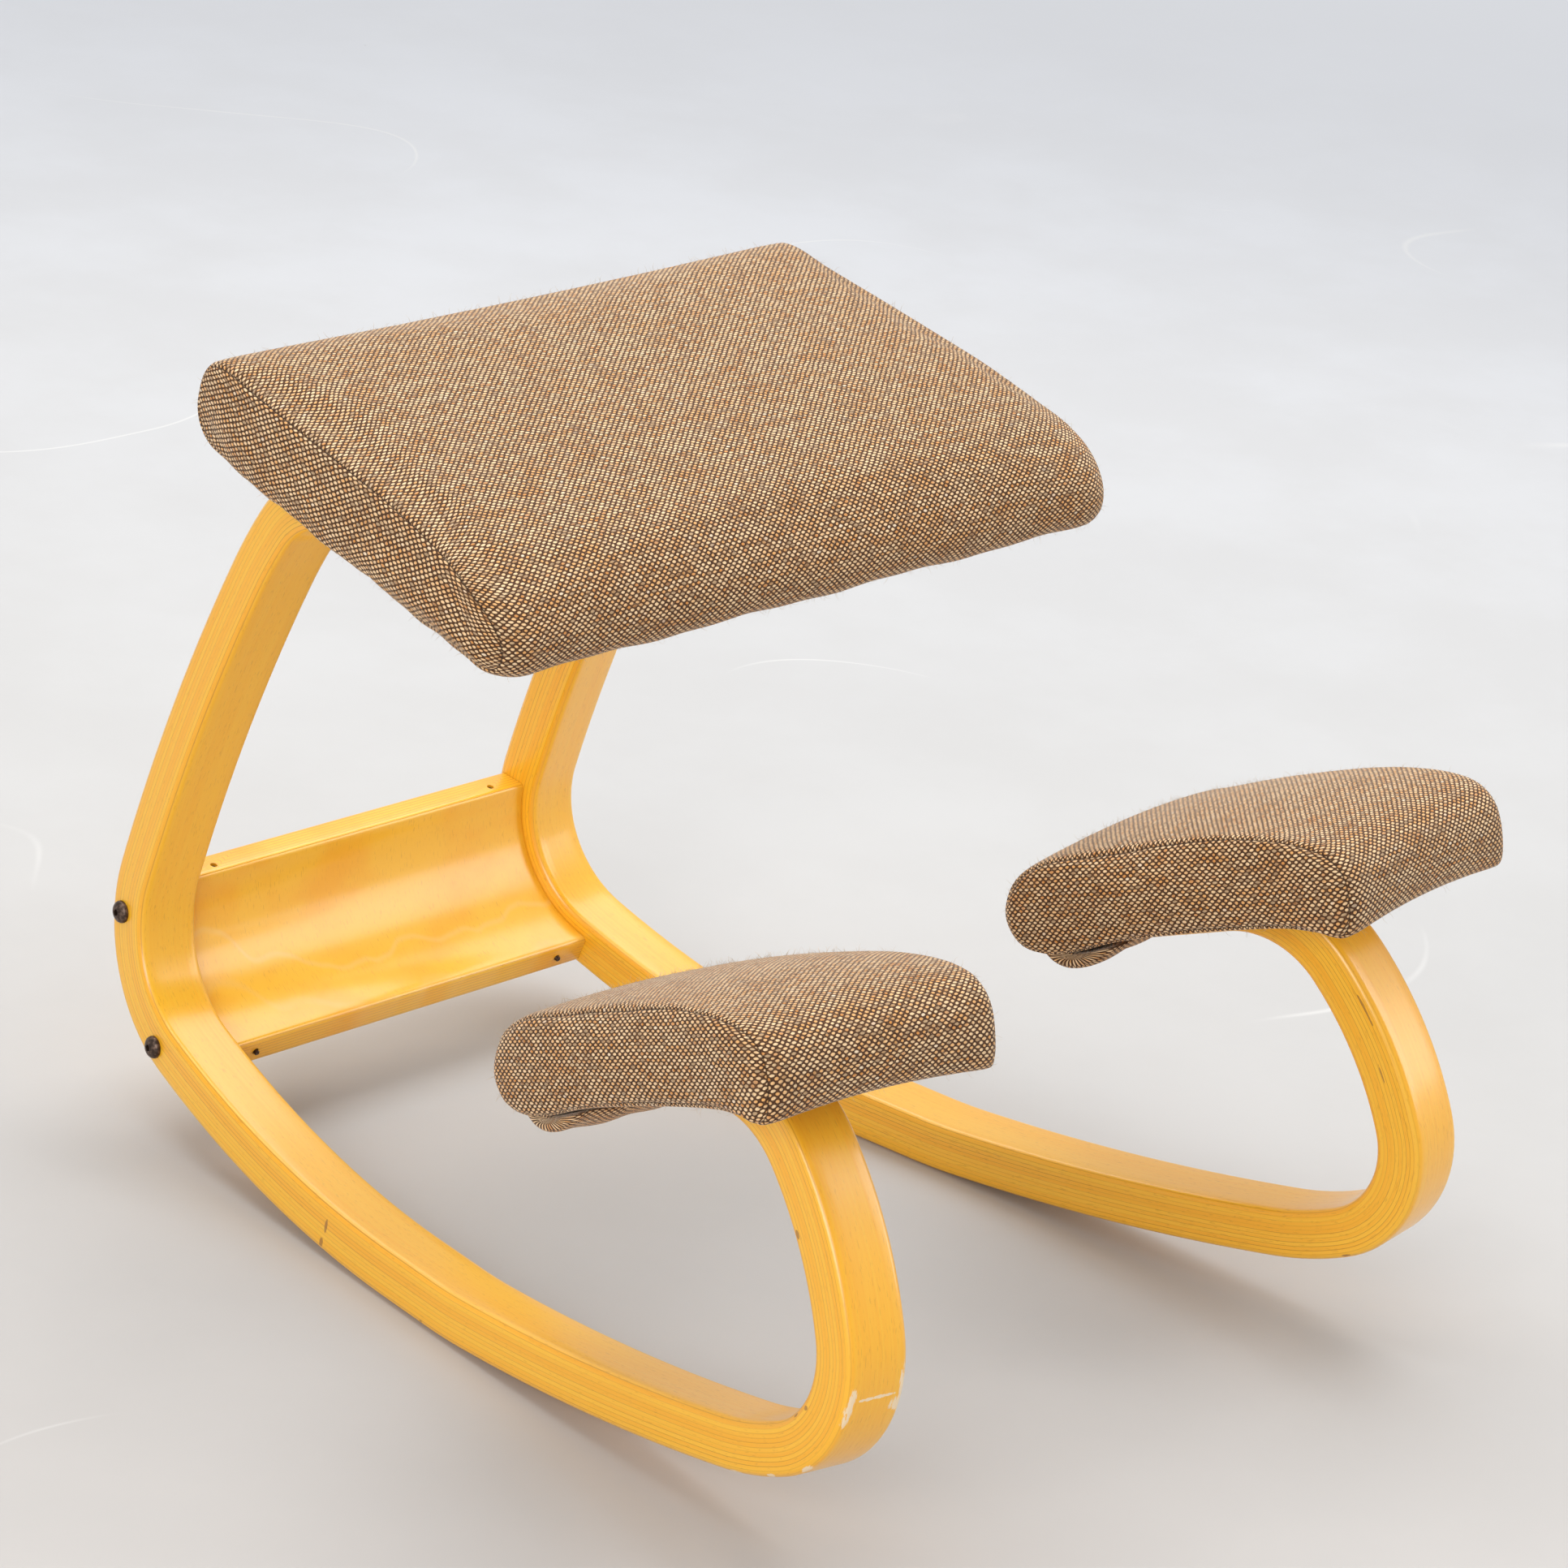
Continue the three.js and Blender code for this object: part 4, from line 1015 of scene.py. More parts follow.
@dataclass
class CrossPanel:
    """The curved board that ties the two runners together at the rear bend."""

    runner: Runner
    thick: float = 0.018
    setback: float = 0.009
    lower_stop: float = 0.243
    length: float = 0.117
    edge: float = 0.003
    bolt_edge: float = 0.019
    fit: float = 0.0003
    edge_steps: int = 4
    cross_steps: int = 12
    face_pitch: float = 0.004
    pin_setback: float = 0.021
    pin_radius: float = 0.0016
    pin_sunk: float = 0.0006
    hole_radius: float = 0.0021
    hole_deep: float = 0.004
    hole_sides: int = 20

    @property
    def faces_out(self) -> Pair:
        """How far out the front and the back faces lie from the runner's centreline."""
        front = self.setback - self.runner.thick / 2
        return front, front + self.thick

    def bolt_runs(self) -> Pair:
        """Where the lower and the upper bolt stand along the rear path."""
        return self.lower_stop + self.bolt_edge, self.lower_stop + self.length - self.bolt_edge

    def middle(self, run: float, across: float) -> Vector:
        """A point in the middle of the panel's thickness, in the left runner's frame."""
        return self.runner.rear.section(run, across, sum(self.faces_out) / 2)

    def side_outline(self) -> np.ndarray:
        """The outline of the panel's side.

        Returns:
            Rows of run and out, without points that lie on one another.
        """
        front, back = self.faces_out
        stop = self.lower_stop + self.length
        steps = max(8, round(self.length / self.face_pitch))
        inner = np.linspace(self.lower_stop + self.edge, stop - self.edge, steps)
        quarter = np.linspace(0.0, math.pi / 2, self.edge_steps + 1)
        rows = [np.stack([inner, np.full(steps, back)], 1)]
        for run, way, first, second in ((stop, -1, back, front), (self.lower_stop, 1, front, back)):
            sense = 1 if first > second else -1
            for face, angle in ((first, quarter), (second, quarter[::-1])):
                inward = 1 if face == first else -1
                at_run = run + way * self.edge * (1 - np.sin(angle))
                at_out = face - sense * inward * self.edge * (1 - np.cos(angle))
                rows.append(np.stack([at_run, at_out], 1))
            if run == stop:
                rows.append(np.stack([inner[::-1], np.full(steps, front)], 1))
        outline = np.concatenate(rows)
        keep = np.linalg.norm(outline - np.roll(outline, 1, axis=0), axis=1) > 1e-7
        return outline[keep]

    def build(self) -> Piece:
        """Makes the panel between the two leaning inner faces, with a hole for each locking pin.

        Returns:
            The panel.
        """
        outline = self.side_outline()
        width = self.runner.wide
        ring = np.array([self.runner.rear.section(run, width, out) for run, out in outline])
        ring = moved(ring, self.runner.leaning)
        into = np.array(self.runner.leaning.inverted(), float)
        end = (width + self.fit - into[0, 3] - ring[:, 1:] @ into[0, 1:3]) / into[0, 0]
        shares = np.linspace(1.0, -1.0, self.cross_steps + 1)
        points = np.concatenate([np.column_stack([end * share, ring[:, 1:]]) for share in shares])
        piece = mesh_object("cross_panel_board", points, capped_faces(len(shares), len(outline)))
        holes = [(outer, inner, self.hole_radius) for inner, outer in self.pin_lines(self.hole_deep)]
        bored(piece, holes, self.hole_sides)
        found = places(piece)
        beside = np.array([0.0, 1.0, 1.0])
        nearest = nearest_rows(ring * beside, found * beside)
        set_vectors(piece, GRAIN, np.column_stack([outline[nearest, 0], found[:, 0], outline[nearest, 1]]))
        smooth(piece, MESH_SHARP)
        return piece

    def pin_lines(self, deep: float) -> list[tuple[Vector, Vector]]:
        """The line of each locking pin, which goes some length past the panel's edge.

        Args:
            deep: How far its inner end lies inside the edge.

        Returns:
            Inner and outer end of each line.
        """
        lines = []
        across = self.runner.wide + self.pin_setback
        for side in Side:
            for run, stop in zip(self.bolt_runs(), (self.lower_stop, self.lower_stop + self.length)):
                edge = self.middle(stop, across)
                outwards = (edge - self.middle(run, across)).normalized()
                place = side.turn @ self.runner.leaning
                lines.append((place @ (edge - outwards * deep), place @ (edge + outwards * deep / 2)))
        return lines

    def pins(self) -> list[Piece]:
        """Makes the four locking pins, each a little sunk in its hole.

        Returns:
            The pins.
        """
        made = []
        names = [f"{side.word}_{level}_pin" for side in Side for level in ("lower", "upper")]
        top = self.hole_deep - self.pin_sunk
        crown = ((0.0004, 1.0), (0.0001, 0.86), (0.0, 0.66), (0.0007, 0.40))
        profile = [(0.0, self.pin_radius), *((top - down, self.pin_radius * share) for down, share in crown)]
        for name, (inner, outer) in zip(names, self.pin_lines(self.hole_deep)):
            pin = lathe(name, profile, 24)
            pin.data.transform(stand(inner, (outer - inner).normalized()))
            made.append(pin)
        return made


# Bolts


@dataclass
class ButtonBolt:
    """A button-head bolt with a hexagon socket."""

    shank: float = 0.003
    head: float = 0.0065
    head_high: float = 0.0042
    socket: float = 0.004
    socket_deep: float = 0.0022
    rim: float = 0.0006
    chamfer: float = 0.001
    sides: int = 48

    def build(self, name: str, length: float, place: Matrix) -> Piece:
        """Makes a bolt.

        Args:
            name: Name of the piece.
            length: Length of the shank.
            place: Where its head's bearing face lies, with its shank along its own -z.

        Returns:
            The bolt.
        """
        angle = np.linspace(0.0, 2 * math.pi, self.sides, endpoint=False)
        hexagon = self.socket / 2 / np.cos((angle + math.pi / 6) % (math.pi / 3) - math.pi / 6)
        dome = [
            (self.rim + (self.head_high - self.rim) * math.sin(turn), self.head * math.cos(turn) ** 0.9)
            for turn in np.linspace(0.0, 0.42 * math.pi, 10)
        ]
        flat, foot = self.head_high, self.head_high - self.socket_deep
        rings = [
            (-length, 0.6 * self.shank), (-length + self.chamfer, self.shank), (-0.0002, self.shank),
            (0.0, self.head), *dome, (flat, hexagon + 0.0003), (flat - 0.00025, hexagon), (foot, hexagon),
            (foot - 0.0006, hexagon * 0.05),
        ]
        points = np.concatenate([ring_of(radius, angle, z) for z, radius in rings])
        return mesh_object(name, moved(points, place), capped_faces(len(rings), self.sides), 35.0)


# Cushions


@dataclass
class PadShell:
    """The bent plywood shell of a knee pad, in the pad's own frame."""

    thick: float = 0.008
    radius: float = 0.400
    peak: float = 0.020
    front: float = 0.140
    rear: float = 0.030
    hook_radius: float = 0.026
    hook_turn: float = 45.0
    fit: float = 0.0003

    def underside(self, y: np.ndarray) -> np.ndarray:
        """Height of the wide arc's underside."""
        return self.fit - self.radius + np.sqrt(self.radius**2 - (y + self.peak) ** 2)

    def curve(self, up: float, steps: int = 40) -> np.ndarray:
        """The shell's side from its front to its hooked rear.

        Args:
            up: How high above the underside it runs.
            steps: Points along the wide arc.

        Returns:
            Rows of y and z.
        """
        start = -math.asin((self.front - self.peak) / self.radius)
        end = math.asin((self.rear + self.peak) / self.radius)
        angle = np.linspace(start, end, steps)
        centre = np.array([-self.peak, self.fit - self.radius])
        arch = centre + (self.radius + up) * np.stack([np.sin(angle), np.cos(angle)], 1)
        hook = centre + (self.radius - self.hook_radius) * np.array([math.sin(end), math.cos(end)])
        angle = end + np.linspace(0.0, math.radians(self.hook_turn), 12)[1:]
        bend = hook + (self.hook_radius + up) * np.stack([np.sin(angle), np.cos(angle)], 1)
        return np.concatenate([arch, bend])


def rounded_loop(knots: np.ndarray, cells: float) -> np.ndarray:
    """Even points along a closed centripetal spline.

    Args:
        knots: The points that it passes through.
        cells: The spacing of the points.

    Returns:
        The points in the knots' order.
    """
    dense = []
    count = len(knots)
    for i in range(count):
        p0, p1, p2, p3 = (knots[(i + k) % count] for k in (-1, 0, 1, 2))
        t = np.cumsum([0.0] + [np.linalg.norm(b - a) ** 0.5 for a, b in ((p0, p1), (p1, p2), (p2, p3))])
        at = np.linspace(t[1], t[2], 24, endpoint=False)[:, None]
        a1 = (t[1] - at) / (t[1] - t[0]) * p0 + (at - t[0]) / (t[1] - t[0]) * p1
        a2 = (t[2] - at) / (t[2] - t[1]) * p1 + (at - t[1]) / (t[2] - t[1]) * p2
        a3 = (t[3] - at) / (t[3] - t[2]) * p2 + (at - t[2]) / (t[3] - t[2]) * p3
        b1 = (t[2] - at) / (t[2] - t[0]) * a1 + (at - t[0]) / (t[2] - t[0]) * a2
        b2 = (t[3] - at) / (t[3] - t[1]) * a2 + (at - t[1]) / (t[3] - t[1]) * a3
        dense.append((t[2] - at) / (t[2] - t[1]) * b1 + (at - t[1]) / (t[2] - t[1]) * b2)
    loop = np.concatenate(dense)
    run = run_round(loop)
    loop = np.vstack([loop, loop[:1]])
    at = np.linspace(0.0, run[-1], 2 * round(run[-1] / cells / 2), endpoint=False)
    return np.stack([np.interp(at, run, loop[:, 0]), np.interp(at, run, loop[:, 1])], 1)


def four_corners(rows: np.ndarray, marks: list[np.ndarray]) -> Corners:
    """The four corners of a side panel's outline.

    Args:
        rows: The points of the outline.
        marks: Where its two lower corners lie.

    Returns:
        Indices of the points at the two lower corners, and of the two that face them.
    """
    steps = len(rows)
    first, second = (int(np.argmin(np.linalg.norm(rows - mark, axis=1))) for mark in marks)
    wide = (second - first) % steps
    return first, (first + wide) % steps, (first + steps // 2) % steps, (first + steps // 2 + wide) % steps


@dataclass
class BoxedCushion:
    """A boxed cushion: one band over its front, top and rear, and a side panel sewn on at each end."""

    name: str
    corner_radius: float
    seam_radius: float
    low_seam_radius: float
    crown: float
    bulge: float
    set_in: float
    swell: float
    cells: float = 0.0055
    seam_groove: float = 0.0012
    pressure: float = 4.0
    plan_from: float = 0.45
    seam_in: float = 0.30
    beside_seam: tuple[float, ...] = (0.0040, 0.0020, 0.0008)
    clear_of_seam: float = 0.0055
    past_seam: tuple[float, ...] = (0.55, 0.78, 0.94, 1.0)
    frames: int = 20

    def outline(self) -> tuple[np.ndarray, Corners]:
        """Rows of y and z round the side, and the indices of its four corners, front-low first."""
        raise NotImplementedError

    def half_width(self, y: np.ndarray) -> np.ndarray:
        """Half of the width at each y."""
        raise NotImplementedError

    def span(self) -> Pair:
        """The middle and half of the length along y."""
        raise NotImplementedError

    def lift(self, outline: np.ndarray, share: np.ndarray) -> np.ndarray:
        """How far each point of a ring is crowned."""
        raise NotImplementedError

    def outward(self, outline: np.ndarray) -> np.ndarray:
        """Which way is out at each point of the outline, as rows of y and z."""
        ahead = np.roll(outline, -1, axis=0) - np.roll(outline, 1, axis=0)
        ahead /= np.linalg.norm(ahead, axis=1)[:, None]
        return np.stack([ahead[:, 1], -ahead[:, 0]], 1)

    def corner(self, y: np.ndarray) -> np.ndarray:
        """Radius of the corners in plan, towards the front or the rear."""
        return np.full(np.shape(y), self.corner_radius)

    def ring(self, outline: np.ndarray, normal: np.ndarray, x: np.ndarray) -> np.ndarray:
        """One ring of the band.

        Args:
            outline: Rows of y and z round the side.
            normal: Which way is out at each of them.
            x: How far each of them lies from the middle.

        Returns:
            The ring's points.
        """
        middle, half_span = self.span()
        half = self.half_width(outline[:, 0])
        share = np.clip(x / half, 0.0, 1.0)
        round_off = self.corner(outline[:, 0])
        corner = np.maximum(0.0, x - (half - round_off))
        plan = round_off - np.sqrt(np.maximum(0.0, round_off**2 - corner**2))
        turn = np.clip(0.5 + normal[:, 1], 0.0, 1.0)
        radius = self.low_seam_radius + (self.seam_radius - self.low_seam_radius) * turn
        edge = np.maximum(0.0, x - (half - radius))
        tuck = radius - np.sqrt(np.maximum(0.0, radius**2 - edge**2))
        off = (outline[:, 0] - middle) / half_span
        reach = np.clip((np.abs(off) - self.plan_from) / (1 - self.plan_from), 0.0, 1.0)
        y = outline[:, 0] - np.sign(off) * plan * reach**2 * (3 - 2 * reach)
        z = outline[:, 1] - normal[:, 1] * tuck + self.lift(outline, share)
        return np.stack([x, y, z], 1)

    def shape(self) -> dict:
        """The whole skin of the cushion in its own frame, before it swells.

        Returns:
            Points, faces, the cloth map of each corner of each face, and marks of the seams.
        """
        outline, corners = self.outline()
        outward = self.outward(outline)
        outline = outline - outward * self.set_in
        count = len(outline)
        half = self.half_width(outline[:, 0]) - self.set_in
        frontness = outward[:, 0] ** 2
        round_off = self.corner(outline[:, 0])
        seam = half - self.seam_in * round_off * frontness - self.seam_in * self.seam_radius * (1 - frontness)
        flat = np.linspace(0.0, 1.0, max(6, round(float(seam.mean()) / self.cells)))
        inner = [seam * share for share in flat[:-1]]
        inner = [x for x in inner if np.all(x < seam - self.clear_of_seam)]
        inner += [seam - step for step in self.beside_seam] + [seam]
        outer = [seam + np.minimum(self.beside_seam[-1], 0.3 * (half - seam))]
        outer += [seam + (half - seam) * share for share in self.past_seam]
        right = [self.ring(outline, outward, x) for x in inner + outer]
        left = [ring * (-1, 1, 1) for ring in right[:0:-1]]
        rings = np.array(left + right)
        seam_at = len(inner) - 1
        total = len(rings)
        mid = total // 2
        gaps = np.linalg.norm(np.diff(rings, axis=0), axis=2)
        u = np.zeros((total, count))
        u[mid + 1:] = np.cumsum(gaps[mid:], axis=0)
        u[:mid] = -np.cumsum(gaps[mid - 1::-1], axis=0)[::-1]
        v = run_round(outline)
        points = [rings.reshape(-1, 3)]
        faces, maps = strip_faces(total, count), []
        left_seam, right_seam = mid - seam_at, mid + seam_at
        for r in range(total - 1):
            end = 0 if r < mid else total - 1
            for i in range(count):
                loop = ((r, i), (r, i + 1), (r + 1, i + 1), (r + 1, i))
                if left_seam <= r < right_seam:
                    maps.append([(u[ring, k % count], v[k]) for ring, k in loop])
                else:
                    maps.append([self.side_map(rings, outward, u, end, ring, k % count) for ring, k in loop])
        start = total * count
        for end in (0, total - 1):
            cap_points, cap_faces, cap_maps = self.cap(rings[end], corners, end * count, start)
            points.append(cap_points)
            faces += cap_faces
            maps += cap_maps
            start += len(cap_points)
        seam_points = np.concatenate([np.arange(count) + at * count for at in (left_seam, right_seam)])
        return {"points": np.concatenate(points), "faces": faces, "maps": maps, "seam": seam_points}

    def side_map(
        self, rings: np.ndarray, outward: np.ndarray, u: np.ndarray, end: int, ring: int, k: int
    ) -> Pair:
        """The cloth map of a point between the seam and a side panel's flat.

        Args:
            rings: Every ring of the cushion.
            outward: Which way is out at each point of a ring.
            u: The length across the band of each point of each ring.
            end: The ring round the flat.
            ring: The ring of the point.
            k: The point.

        Returns:
            Its place on the cloth.
        """
        away = abs(u[end, k] - u[ring, k])
        y, z = rings[end, k, 1:] + outward[k] * away
        return (y + 1.0 if end else y - 1.0, z)

    def cap(self, ring: np.ndarray, corners: Corners, first: int, start: int) -> tuple:
        """The flat of a side panel, filled between the four stretches of its outline.

        Args:
            ring: The outline's points.
            corners: Indices of its corners: front-low, rear-low, rear-high and front-high.
            first: Index of the ring's first point.
            start: Index of the first point that is added.

        Returns:
            The added points, the faces and their maps.
        """
        count = len(ring)
        low_front, low_rear, high_rear, high_front = corners

        def stretch(a: int, b: int) -> list[int]:
            """The indices from one corner to another, the way the outline runs."""
            return [(a + i) % count for i in range((b - a) % count + 1)]

        bottom, rear = stretch(low_front, low_rear), stretch(low_rear, high_rear)
        top, front = stretch(high_rear, high_front)[::-1], stretch(high_front, low_front)[::-1]
        wide, high = len(bottom), len(rear)
        b, t, f, r = (ring[row] for row in (bottom, top, front, rear))
        c = np.linspace(0, 1, wide)[:, None, None]
        d = np.linspace(0, 1, high)[None, :, None]
        grid = (1 - d) * b[:, None] + d * t[:, None] + (1 - c) * f[None] + c * r[None]
        grid -= (1 - c) * (1 - d) * b[0] + c * (1 - d) * b[-1] + (1 - c) * d * t[0] + c * d * t[-1]
        side = 1.0 if ring[0, 0] > 0 else -1.0
        grid[..., 0] += side * self.bulge * ((1 - (2 * c - 1) ** 8) * (1 - (2 * d - 1) ** 2))[..., 0]
        index = np.full((wide, high), -1)
        index[:, 0], index[:, -1], index[0], index[-1] = bottom, top, front, rear
        index[index >= 0] += first
        inner = index < 0
        index[inner] = start + np.arange(int(inner.sum()))
        faces, maps = [], []
        for i in range(wide - 1):
            for j in range(high - 1):
                loop = ((i, j), (i + 1, j), (i + 1, j + 1), (i, j + 1))
                faces.append(tuple(int(index[k]) for k in loop))
                maps.append([(grid[k][1] + side, grid[k][2]) for k in loop])
        return grid[inner], faces, maps

    def pinned(self, points: np.ndarray) -> np.ndarray:
        """Which points are held, in the cushion's own frame."""
        raise NotImplementedError

    def finish_shape(self, points: np.ndarray) -> np.ndarray:
        """Last moves in the cushion's own frame, such as the underside's recess."""
        return points

    def swollen(self, piece: Piece, start: np.ndarray) -> np.ndarray:
        """The points after the cover is blown up against its seams.

        Args:
            piece: The cushion.
            start: Its points before.

        Returns:
            Its points after, none moved further than the swell allows.
        """
        copy = added(f"{self.name}_swollen", piece.data.copy())
        held = copy.vertex_groups.new(name="held")
        held.add(np.flatnonzero(self.pinned(start)).tolist(), 1.0, "REPLACE")
        cloth = copy.modifiers.new("cloth", "CLOTH")
        settings = {
            "quality": 6, "mass": 0.15, "tension_stiffness": 40.0, "compression_stiffness": 40.0,
            "shear_stiffness": 20.0, "bending_stiffness": 2.0, "use_pressure": True,
            "uniform_pressure_force": self.pressure, "vertex_group_mass": "held", "pin_stiffness": 6.0,
        }
        for name, value in settings.items():
            setattr(cloth.settings, name, value)
        cloth.settings.effector_weights.gravity = 0.0
        cloth.point_cache.frame_start, cloth.point_cache.frame_end = 1, self.frames
        for step in range(1, self.frames + 1):
            bpy.context.scene.frame_set(step)
        graph = bpy.context.evaluated_depsgraph_get()
        done = np.empty(len(start) * 3)
        copy.evaluated_get(graph).data.vertices.foreach_get("co", done)
        bpy.context.scene.frame_set(1)
        bpy.data.objects.remove(copy)
        move = self.eased(piece, done.reshape(-1, 3) - start)
        length = np.linalg.norm(move, axis=1)
        log.info("%s: the cover moves up to %.1f mm", self.name, 1000 * length.max())
        return start + move * np.minimum(1.0, self.swell / np.maximum(length, 1e-9))[:, None]

    @staticmethod
    def eased(piece: Piece, values: np.ndarray, rounds: int = 10) -> np.ndarray:
        """Averages each point's value with its neighbours' several times.

        Args:
            piece: The mesh.
            values: One value a point, as rows.
            rounds: How often.

        Returns:
            The averaged values.
        """
        edges = np.empty(len(piece.data.edges) * 2, int)
        piece.data.edges.foreach_get("vertices", edges)
        a, b = edges.reshape(-1, 2).T
        count = np.bincount(edges, minlength=len(values))[:, None]
        for _ in range(rounds):
            total = np.zeros_like(values)
            np.add.at(total, a, values[b])
            np.add.at(total, b, values[a])
            values = 0.5 * values + 0.5 * total / count
        return values

    def build(self, place: Matrix) -> Piece:
        """Makes the cushion.

        Args:
            place: The cushion's own frame in the chair.

        Returns:
            The cushion as a plain mesh, with its cloth map and the seam mark, along which the tweed paints shade.
        """
        skin = self.shape()
        piece = mesh_object(self.name, skin["points"], skin["faces"], ALL_SMOOTH)
        layer = piece.data.uv_layers.new(name=CLOTH_MAP)
        self.lay_map(piece, layer, skin)
        points = places(piece)
        points = self.swollen(piece, points)
        normals = np.empty(len(points) * 3)
        set_places(piece, points)
        piece.data.vertices.foreach_get("normal", normals)
        normals = normals.reshape(-1, 3)
        seam = skin["seam"]
        points[seam] -= normals[seam] * self.seam_groove
        set_places(piece, self.finish_shape(points))
        # Marks the seam points, along which the tweed paints shade into the grooves.
        marks = piece.data.attributes.new(SEAM_SHADE, "FLOAT", "POINT")
        marks.data.foreach_set("value", np.isin(np.arange(len(points)), seam).astype(np.float32))
        refined(piece)
        return settled(piece, place)

    @staticmethod
    def lay_map(piece: Piece, layer: bpy.types.MeshUVLoopLayer, skin: dict) -> None:
        """Writes each face's cloth map, whichever way the face was turned.

        Args:
            piece: The cushion.
            layer: Its cloth map.
            skin: Its faces and their maps.
        """
        by_face = {
            frozenset(face): dict(zip(face, spots)) for face, spots in zip(skin["faces"], skin["maps"])
        }
        for polygon in piece.data.polygons:
            spots = by_face[frozenset(polygon.vertices)]
            for loop, vertex in zip(polygon.loop_indices, polygon.vertices):
                layer.data[loop].uv = spots[vertex]


@dataclass
class SeatCushion(BoxedCushion):
    """The seat cushion, in the plane of the two seat rails."""

    name: str = "seat_cushion"
    corner_radius: float = 0.027
    seam_radius: float = 0.007
    low_seam_radius: float = 0.012
    crown: float = 0.008
    bulge: float = 0.0025
    set_in: float = 0.0
    swell: float = 0.0035
    front_wide: float = 0.482
    rear_wide: float = 0.446
    deep: float = 0.274
    overhang: float = 0.086
    thick: float = 0.0525
    hem: float = 0.034
    recess: float = 0.0022
    droop: float = 0.005
    wave: float = 0.0009
    rear_corner: float = 0.007
    held_below: float = 0.006
    corner_from: float = -0.10
    corner_to: float = 0.02
    wave_slant: float = 1.7
    waves: tuple[Triple, ...] = ((0.118, 2.2, 1.0), (0.047, 0.4, 0.6))
    wave_fades: float = 0.022
    recess_below: float = 0.012
    rear_low: int = 6
    knots: tuple[Pair, ...] = (
        (-0.1825, 0.0012), (-0.172, 0.0), (-0.120, 0.0), (-0.050, 0.0), (0.020, 0.0), (0.060, 0.0008),
        (0.077, 0.006), (0.0855, 0.016), (0.0885, 0.028), (0.0875, 0.040), (0.082, 0.0485),
        (0.068, 0.0520), (0.040, 0.0528), (-0.020, 0.0530), (-0.080, 0.0522), (-0.125, 0.0500),
        (-0.155, 0.0465), (-0.174, 0.0400), (-0.1855, 0.0290), (-0.1895, 0.0170), (-0.1880, 0.0065),
    )

    def outline(self) -> tuple[np.ndarray, Corners]:
        """Rows of y and z round the side, and its corners."""
        knots = np.array(self.knots)
        rows = rounded_loop(knots, self.cells)
        return rows, four_corners(rows, [knots[0], knots[self.rear_low]])

    def half_width(self, y: np.ndarray) -> np.ndarray:
        """Half of the width, which narrows to the rear."""
        share = (y - self.overhang + self.deep) / self.deep
        return (self.front_wide + (self.rear_wide - self.front_wide) * share) / 2

    def corner(self, y: np.ndarray) -> np.ndarray:
        """Radius of the corners in plan, large in front and small at the rear."""
        return np.interp(y, (self.corner_from, self.corner_to), (self.corner_radius, self.rear_corner))

    def span(self) -> Pair:
        """The middle and half of the depth."""
        return self.overhang - self.deep / 2, self.deep / 2

    def lift(self, outline: np.ndarray, share: np.ndarray) -> np.ndarray:
        """The crown of the top, and the droop of the two front corners.

        Args:
            outline: Rows of y and z round the side.
            share: How far each point lies from the middle, from 0 to 1.

        Returns:
            How far each point is raised.
        """
        middle, half = self.span()
        along = (outline[:, 0] - middle) / half
        height = np.clip(outline[:, 1] / self.thick, 0.0, 1.0)
        up = self.crown * np.maximum(0.0, 1 - np.abs(along) ** 3) * (1 - share**3)
        front = np.clip(-0.2 - along, 0.0, 0.8) / 0.8
        down = self.droop * front**1.2 * share**5 * np.sin(math.pi * height / 2)
        return height**3 * up - down

    def pinned(self, points: np.ndarray) -> np.ndarray:
        """The bottom is held on its board."""
        return points[:, 2] < self.held_below

    def hem_line(self, z: float) -> np.ndarray:
        """The closed line half way across the hem on the underside.

        Args:
            z: Its height.

        Returns:
            Its four corners.
        """
        front, rear = self.overhang - self.deep + self.hem / 2, self.overhang - self.hem / 2
        ends = [(y, float(self.half_width(np.array(y))) - self.hem / 2) for y in (front, rear)]
        corners = [(-ends[0][1], front), (ends[0][1], front), (ends[1][1], rear), (-ends[1][1], rear)]
        return np.array([(x, y, z) for x, y in corners])

    def finish_shape(self, points: np.ndarray) -> np.ndarray:
        """Waves the lower edge, and raises the underside inside the hem, where the dust cloth lies.

        Args:
            points: The cushion's points in its own frame.

        Returns:
            The points after that.
        """
        x, y, z = points.T
        inside = np.minimum(y - (self.overhang - self.deep), self.overhang - y)
        inside = np.minimum(inside, self.half_width(y) - np.abs(x))
        run = x + self.wave_slant * y
        wave = sum(high * np.sin(run * 2 * math.pi / length + start) for length, start, high in self.waves)
        waved = z + self.wave * wave * np.clip(1 - z / self.wave_fades, 0.0, 1.0)
        recessed = (waved < self.recess_below) & (inside > self.hem)
        return np.column_stack([x, y, np.where(recessed, self.recess, waved)])


